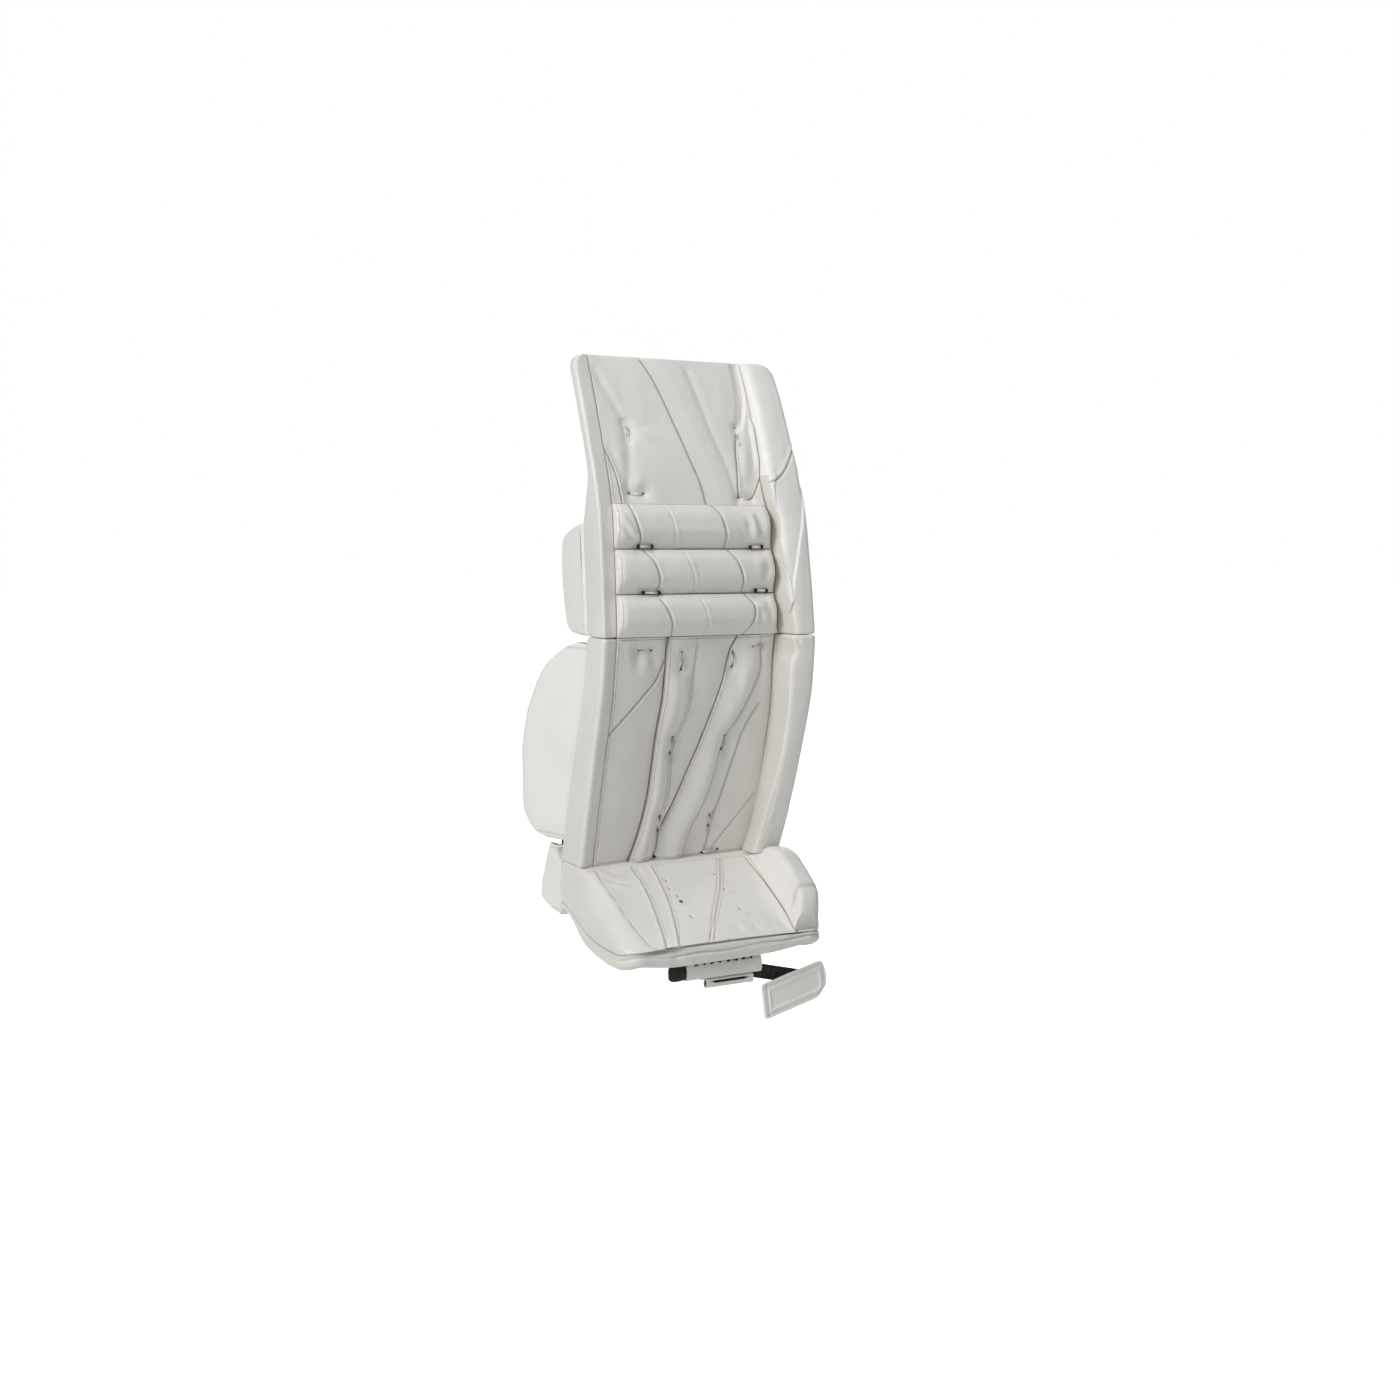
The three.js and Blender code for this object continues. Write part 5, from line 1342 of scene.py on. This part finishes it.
# Tab: a stiff leather plate with a raised border and a seam; rings run from its back round to its front
tab = {"length": 95.0, "height": 46.0, "thickness": 4.0, "tilt": 14.0, "border": 4.2, "drop": 52.0, "seam": 6.5}
low, high = nodeSpan("toe_tab")
tabCentre = np.array([reach + bend + 3 - tab["length"] / 2, 0, sleeveMiddle + toe["height"] / 2 - tab["drop"]])
tabOutline = roundSection(np.array([[((a - 0.5) * tab["length"], (u - 0.5) * tab["height"]) for a, u in (
    (0, 0.03), (0.05, 0), (0.84, 0), (1, 0.3), (1, 0.62), (0.96, 0.96), (0.9, 1), (0.05, 1), (0, 0.97))]]),
    [3, 4, 7, 9, 5, 5, 5, 4, 3], [4, 60, 22, 14, 14, 6, 60, 4, 34], steps=5)[0]
scales = np.concatenate([np.linspace(0.02, 0.9, 12), np.linspace(0.93, 1, 6)])
frontScales = np.concatenate([np.linspace(1, 0.7, 46), np.linspace(0.67, 0.02, 18)])


def tabRing(wide, tall, y):
    return np.stack([tabOutline[:, 0] * wide, np.full(len(tabOutline), y), tabOutline[:, 1] * tall], axis=1)


tabBack = high[1] - 0.6
rings = [tabRing(scale, scale, tabBack) for scale in scales]
for share in (0.25, 0.5, 0.75):
    swell = math.sin(math.pi * 2 * share)
    rings.append(tabRing(1 + 0.006 * swell, 1 + 0.01 * swell, tabBack - (tab["thickness"] - 1.2) * share))
shadeRows = [np.zeros(len(tabOutline))] * len(rings)
for scale in frontScales:
    ring = tabOutline * scale
    fromLeft, fromRight = ring[:, 0] + 0.5 * tab["length"], 0.5 * tab["length"] - ring[:, 0]
    fromFoot, fromTop = ring[:, 1] + 0.5 * tab["height"], 0.5 * tab["height"] - ring[:, 1]
    cutCorner = fromRight * 0.65 + fromFoot * 0.76 - 6.8
    inner = np.minimum(np.minimum(np.minimum(fromLeft, fromRight), np.minimum(fromFoot, fromTop)), cutCorner)
    y = (low[1] + 0.7 - 0.7 * ease(0, 1.2, inner) + 0.55 * bump(inner - tab["border"], 1.0)
         - 0.9 * bump(inner - 9.5, 1.6) + 0.25 * ease(11, 14, inner) + 0.9 * bump(fromLeft - tab["seam"], 0.9))
    rings.append(np.stack([ring[:, 0], y, ring[:, 1]], axis=1))
    # painted shade along the raised border and the seam
    shadeRows.append(0.35 * bump(inner - tab["border"], 0.8) + 0.5 * bump(fromLeft - tab["seam"], 0.8))
rings = np.array(rings)
tilt = math.radians(tab["tilt"])
u, v = rings[..., 0].copy(), rings[..., 2].copy()
rings[..., 0] = tabCentre[0] + u * math.cos(tilt) - v * math.sin(tilt) * 0.35
rings[..., 2] = tabCentre[2] + u * math.sin(tilt) + v * math.cos(tilt)
rings[..., 1] = rings[..., 1] + 1.6 * v / (tab["height"] / 2)
tabCover = loft("toe_tab_cover", rings, paintedShade=np.array(shadeRows), material=gussetLeather, sharp=50)
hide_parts("toe_tab")
print("straps and toe pieces made")


# Stitches, painted shade at the needle holes, laces: many small repeated shapes, each group one mesh

def faceY(x, z):
    # the face's finished y at points of it, on whichever panel they lie
    x, z = np.asarray(x, float), np.asarray(z, float)
    y = shinFaceY(x, np.minimum(z, -0.5))
    for number in range(3):
        low, high = rollSpan(number)
        on = tieDip(x, z, rollSurface(number, x, np.clip(z, low, high))[0])
        y = np.where((z > pad["rollTops"][number] + (0 if number else 3.2)) & (z <= pad["rollTops"][number + 1]), on,
                     y)
    skin = thighSkin(x, np.maximum(z, 163))[0] + 1.6 * roundedEdge(x - pad["edge"], 2.0)
    return np.where(z > 162.1, frontAt(z) + skin, y)


def onFace(points):
    # face points (x, z) with their y
    points = np.asarray(points, float)
    y = faceY(points[:, 0], points[:, 1])
    keep = np.isfinite(y)
    return np.stack([points[keep, 0], y[keep], points[keep, 1]], axis=1)


def onBoot(points):
    points = np.asarray(points, float)
    down, _ = bootRelief(points[:, 0], points[:, 1])
    roof = np.maximum(bootRoof(points[:, 1]), bootSeamZ(points[:, 1]) + 0.6)
    return np.stack([points[:, 0], points[:, 1], roof - down], axis=1)


def offsetPath(path, distance):
    # the same path in its plane, moved to one side
    step = np.gradient(path, axis=0)
    step = step / np.linalg.norm(step, axis=1, keepdims=True)
    return path + np.stack([step[:, 1], -step[:, 0]], axis=1) * distance


def tubes(starts, ends, up, radius, lift, sides=6, rings=5):
    # short rounded rods from starts to ends that arch away from the surface along up; all as one mesh
    starts, ends = np.asarray(starts, float), np.asarray(ends, float)
    count = len(starts)
    t = np.linspace(0, 1, rings)[None, :, None]
    spine = starts[:, None] * (1 - t) + ends[:, None] * t + np.asarray(up)[:, None] * lift * np.sin(np.pi * t)
    way = (ends - starts) / np.maximum(np.linalg.norm(ends - starts, axis=1, keepdims=True), 1e-6)
    sideways = np.cross(way, up)
    sideways /= np.maximum(np.linalg.norm(sideways, axis=1, keepdims=True), 1e-6)
    upright = np.cross(sideways, way)
    turn = np.linspace(0, 2 * np.pi, sides, endpoint=False)
    thin = radius * np.sqrt(np.clip(1 - (2 * np.linspace(0.04, 0.96, rings) - 1) ** 4, 0.05, 1))
    points = (spine[:, :, None] + thin[None, :, None, None] * (np.cos(turn)[None, None, :, None] * sideways[:, None,
                                                                                                            None]
              + np.sin(turn)[None, None, :, None] * upright[:, None, None]))
    grid = np.arange(count * rings * sides).reshape(count, rings, sides)
    wrap = np.concatenate([grid, grid[:, :, :1]], axis=2)
    quads = gridQuads(wrap)
    caps = [*grid[:, 0, ::-1], *grid[:, -1]]
    return points.reshape(-1, 3), quads, caps


def joined(parts):
    # several (points, quads, caps) as one
    points, quads, caps, shift = [], [], [], 0
    for p, q, c in parts:
        points.append(p)
        quads.append(q + shift)
        caps += [ring + shift for ring in c]
        shift += len(p)
    return np.concatenate(points), np.concatenate(quads), caps


stitch = {"pitch": 3.8, "length": 2.5, "radius": 0.42, "hole": 0.5, "lift": 0.28}


def pointsAt(path, run, at):
    return np.stack([np.interp(at, run, path[:, k]) for k in range(3)], axis=1)


def stitchRows(paths):
    # thread, and a grey dot of painted shade at each needle hole, along surface lines (each n x 3, with its outward
    # direction)
    threads, holeShades = [], []
    for path, up in paths:
        run = runAlong(path)
        if run[-1] < stitch["pitch"] * 1.5:
            continue
        middle = np.arange(stitch["pitch"] / 2, run[-1] - stitch["pitch"] / 2, stitch["pitch"])
        a, b = (pointsAt(path, run, middle + side * stitch["length"] / 2) for side in (-1, 1))
        ups = np.broadcast_to(np.asarray(up, float), a.shape)
        threads.append(tubes(a + ups * 0.05, b + ups * 0.05, ups, stitch["radius"], stitch["lift"], 5, 4))
        gap = pointsAt(path, run, middle + stitch["pitch"] / 2)
        way = (b - a) / np.linalg.norm(b - a, axis=1, keepdims=True)
        holeShades.append(tubes(gap - way * 0.55, gap + way * 0.55, ups, stitch["hole"], 0.0, 5, 3))
    return joined(threads), joined(holeShades)


def verticalLine(line, low, high, shift, step=1.2):
    zs = np.arange(low, high, step)
    return np.stack([line(zs) + shift, zs], axis=1)


def levelLine(low, high, z, step=1.2):
    xs = np.arange(low, high, step)
    return np.stack([xs, np.full(len(xs), z)], axis=1)


def borderLine(x, low, high):
    return verticalLine(lambda z: np.full_like(z, x), low, high, 0)


front, slope = (0, -1, 0), (0, -0.45, 0.89)
lines = [verticalLine(shinSeams[name], low, high, shift) for name, shift, low, high in (
    ("kneeLine", 2.9, -292, -6), ("ribLine", -2.4, -290, -44), ("ribLine", 2.4, -230, -8),
    ("crossLine", 2.8, -258, -44), ("outerLine", -2.4, -290, -44), ("outerLine", 2.4, -120, -8))]
lines += [borderLine(-117.4, -292, -3), borderLine(-117.4, 165, 226)]
for number in range(3):
    lines.append(borderLine(-117.2, pad["rollTops"][number] + (3 if number else 5), pad["rollTops"][number + 1] - 3))
lines += [offsetPath(smoothPath(seam, 1.2), shift) for seam, shift in (
    (shinInner["triangle"], -2.4), (shinInner["outerFirst"], 2.2), (thighSeams["valley"], -2.3), (thighSeams["inner"],
                                                                                                  -2.3))]
lines += [levelLine(-116, 100, -3.4), levelLine(-40, 60, 53.4), levelLine(-40, 60, 108.4)]
rows = [(onFace(line), front) for line in lines]
for name in ("inner", "middle", "doubleLeft", "doubleRight"):
    seam = bootSeams[name][0]
    rows.append((onBoot(offsetPath(smoothPath(seam[:-1] + [(seam[-1][0], -108)], 1.2), -2.4)), slope))
rows.append((onFace(levelLine(-116, 94, -291.6)), front))
threads, holeShades = stitchRows(rows)
makeMesh("seam_stitches", *threads, material=whiteThread, sharp=80)
makeMesh("needle_hole_shade", *holeShades, material=needleDotShade, sharp=80)
print("stitches made:", len(threads[0]) // 20)


# Laces: an eyelet hole at each end, drawn as a disc of painted shade, the strand dives in at both

lace = {"radius": 1.3, "lift": 2.6, "hole": 2.6}


def holeDiscs(points, ups, radius):
    # shallow dark cups of painted shade for each hole: a disc just proud of the surface with a low rim
    points, ups = np.asarray(points, float), np.asarray(ups, float)
    side = np.cross(ups, np.array([1.0, 0.2, 0.1]))
    side /= np.linalg.norm(side, axis=1, keepdims=True)
    other = np.cross(ups, side)
    turn = np.linspace(0, 2 * np.pi, 14, endpoint=False)
    circle = np.cos(turn)[None, :, None] * side[:, None] + np.sin(turn)[None, :, None] * other[:, None]
    levels = [(-1.2, 1.0), (0.12, 1.0), (0.3, 0.82), (0.22, 0.5)]
    pts = np.stack([points[:, None] + ups[:, None] * h + circle * radius * r for h, r in levels], axis=1)
    grid = np.arange(len(points) * 4 * 14).reshape(len(points), 4, 14)
    wrap = np.concatenate([grid, grid[:, :, :1]], axis=2)
    quads = gridQuads(wrap)
    return pts.reshape(-1, 3), quads, [*grid[:, 0, ::-1], *grid[:, -1]]


def holePoint(p):
    return onFace([p])[0]


strands, slitShades, eyelets, eyeletUps = [], [], [], []


def laceBetween(a, b, up, apart=0.0, lift=None, radius=None):
    a, b, up = np.asarray(a, float), np.asarray(b, float), np.asarray(up, float)
    way = (b - a) / np.linalg.norm(b - a)
    sideways = np.cross(way, up)
    for shift in ((-apart, apart) if apart else (0,)):
        strands.append(tubes([a + sideways * shift - up * 0.3], [b + sideways * shift - up * 0.3], [up],
                             radius or lace["radius"], lift or lace["lift"] + 0.5, 10, 14))


up = np.array([0.0, -1.0, 0.0])
for a, b in shinTies + thighTies + [((58, 171), (75, 170))]:
    pa, pb = holePoint(a), holePoint(b)
    upright = abs(a[0] - b[0]) < 4
    laceBetween(pa, pb, up, 1.5 if upright else 0.0)
    # a dark flattened strip of painted shade under the lace, between its holes
    slitShades.append(tubes([pa - up * 0.9], [pb - up * 0.9], [up], 2.5 if upright else 1.7, 0.6, 10, 14))
    eyelets += [pa, pb]
    eyeletUps += [up, up]
for a, b in rollTies:
    pa, pb = (np.array([p[0], float(frontAt(p[1])) - 0.6, p[1] + 3.4]) for p in (a, b))
    laceBetween(pa, pb, up, 0.0, 2.2)
    eyelets += [pa + up, pb + up]
    eyeletUps += [up, up]
eyelets.append(holePoint((70, 260)))
eyeletUps.append(up)
zig = [(66.5, 256), (70.5, 250), (66.8, 248), (71, 242), (68, 239)]
for a, b in zip(zig[:-1], zig[1:]):
    laceBetween(holePoint(a) + up * 0.6, holePoint(b) + up * 0.6, up, 0.0, 0.9, 0.7)
roofUp = np.array([0, -0.49, 0.87])
for hx, hy in bootHoles + [(-34, -48)]:
    eyelets.append(onBoot([(hx, hy)])[0])
    eyeletUps.append(roofUp)
for a, b in (((35, -34), (43, -50)), ((39, -68), (47, -85)), ((-34, -48), (-35, -54)), ((-32, -72), (-35, -84)),
             ((-36, -10), (-38, -24))):
    laceBetween(onBoot([a])[0], onBoot([b])[0], roofUp, 0.0, 0.9, 0.5)
eyelets.append(holePoint((-33, -290)))
eyeletUps.append(up)
pa, pb = holePoint((36, -290)), holePoint((58, -288))
laceBetween(pa, pb, up)
eyelets += [pa, pb]
eyeletUps += [up, up]
low, high = nodeSpan("toe_sleeve")
for x in (-34, -12, 11, 32):
    a = np.array([x - 5.0, low[1] + 1.6, high[2] - 2.6])
    b = np.array([x + 5.0, low[1] + 1.6, high[2] - 2.2])
    laceBetween(a, b, np.array([0, -0.8, 0.6]), 1.2, 1.6, 0.9)
    eyelets += [a, b]
    eyeletUps += [up, up]
makeMesh("tie_laces", *joined(strands), material=whiteLace, sharp=80)
holeMesh = holeDiscs(np.array(eyelets), np.array(eyeletUps), lace["hole"])
makeMesh("lace_hole_shade", *joined([holeMesh] + slitShades), material=holeShade, sharp=60)
print("laces made:", len(strands))
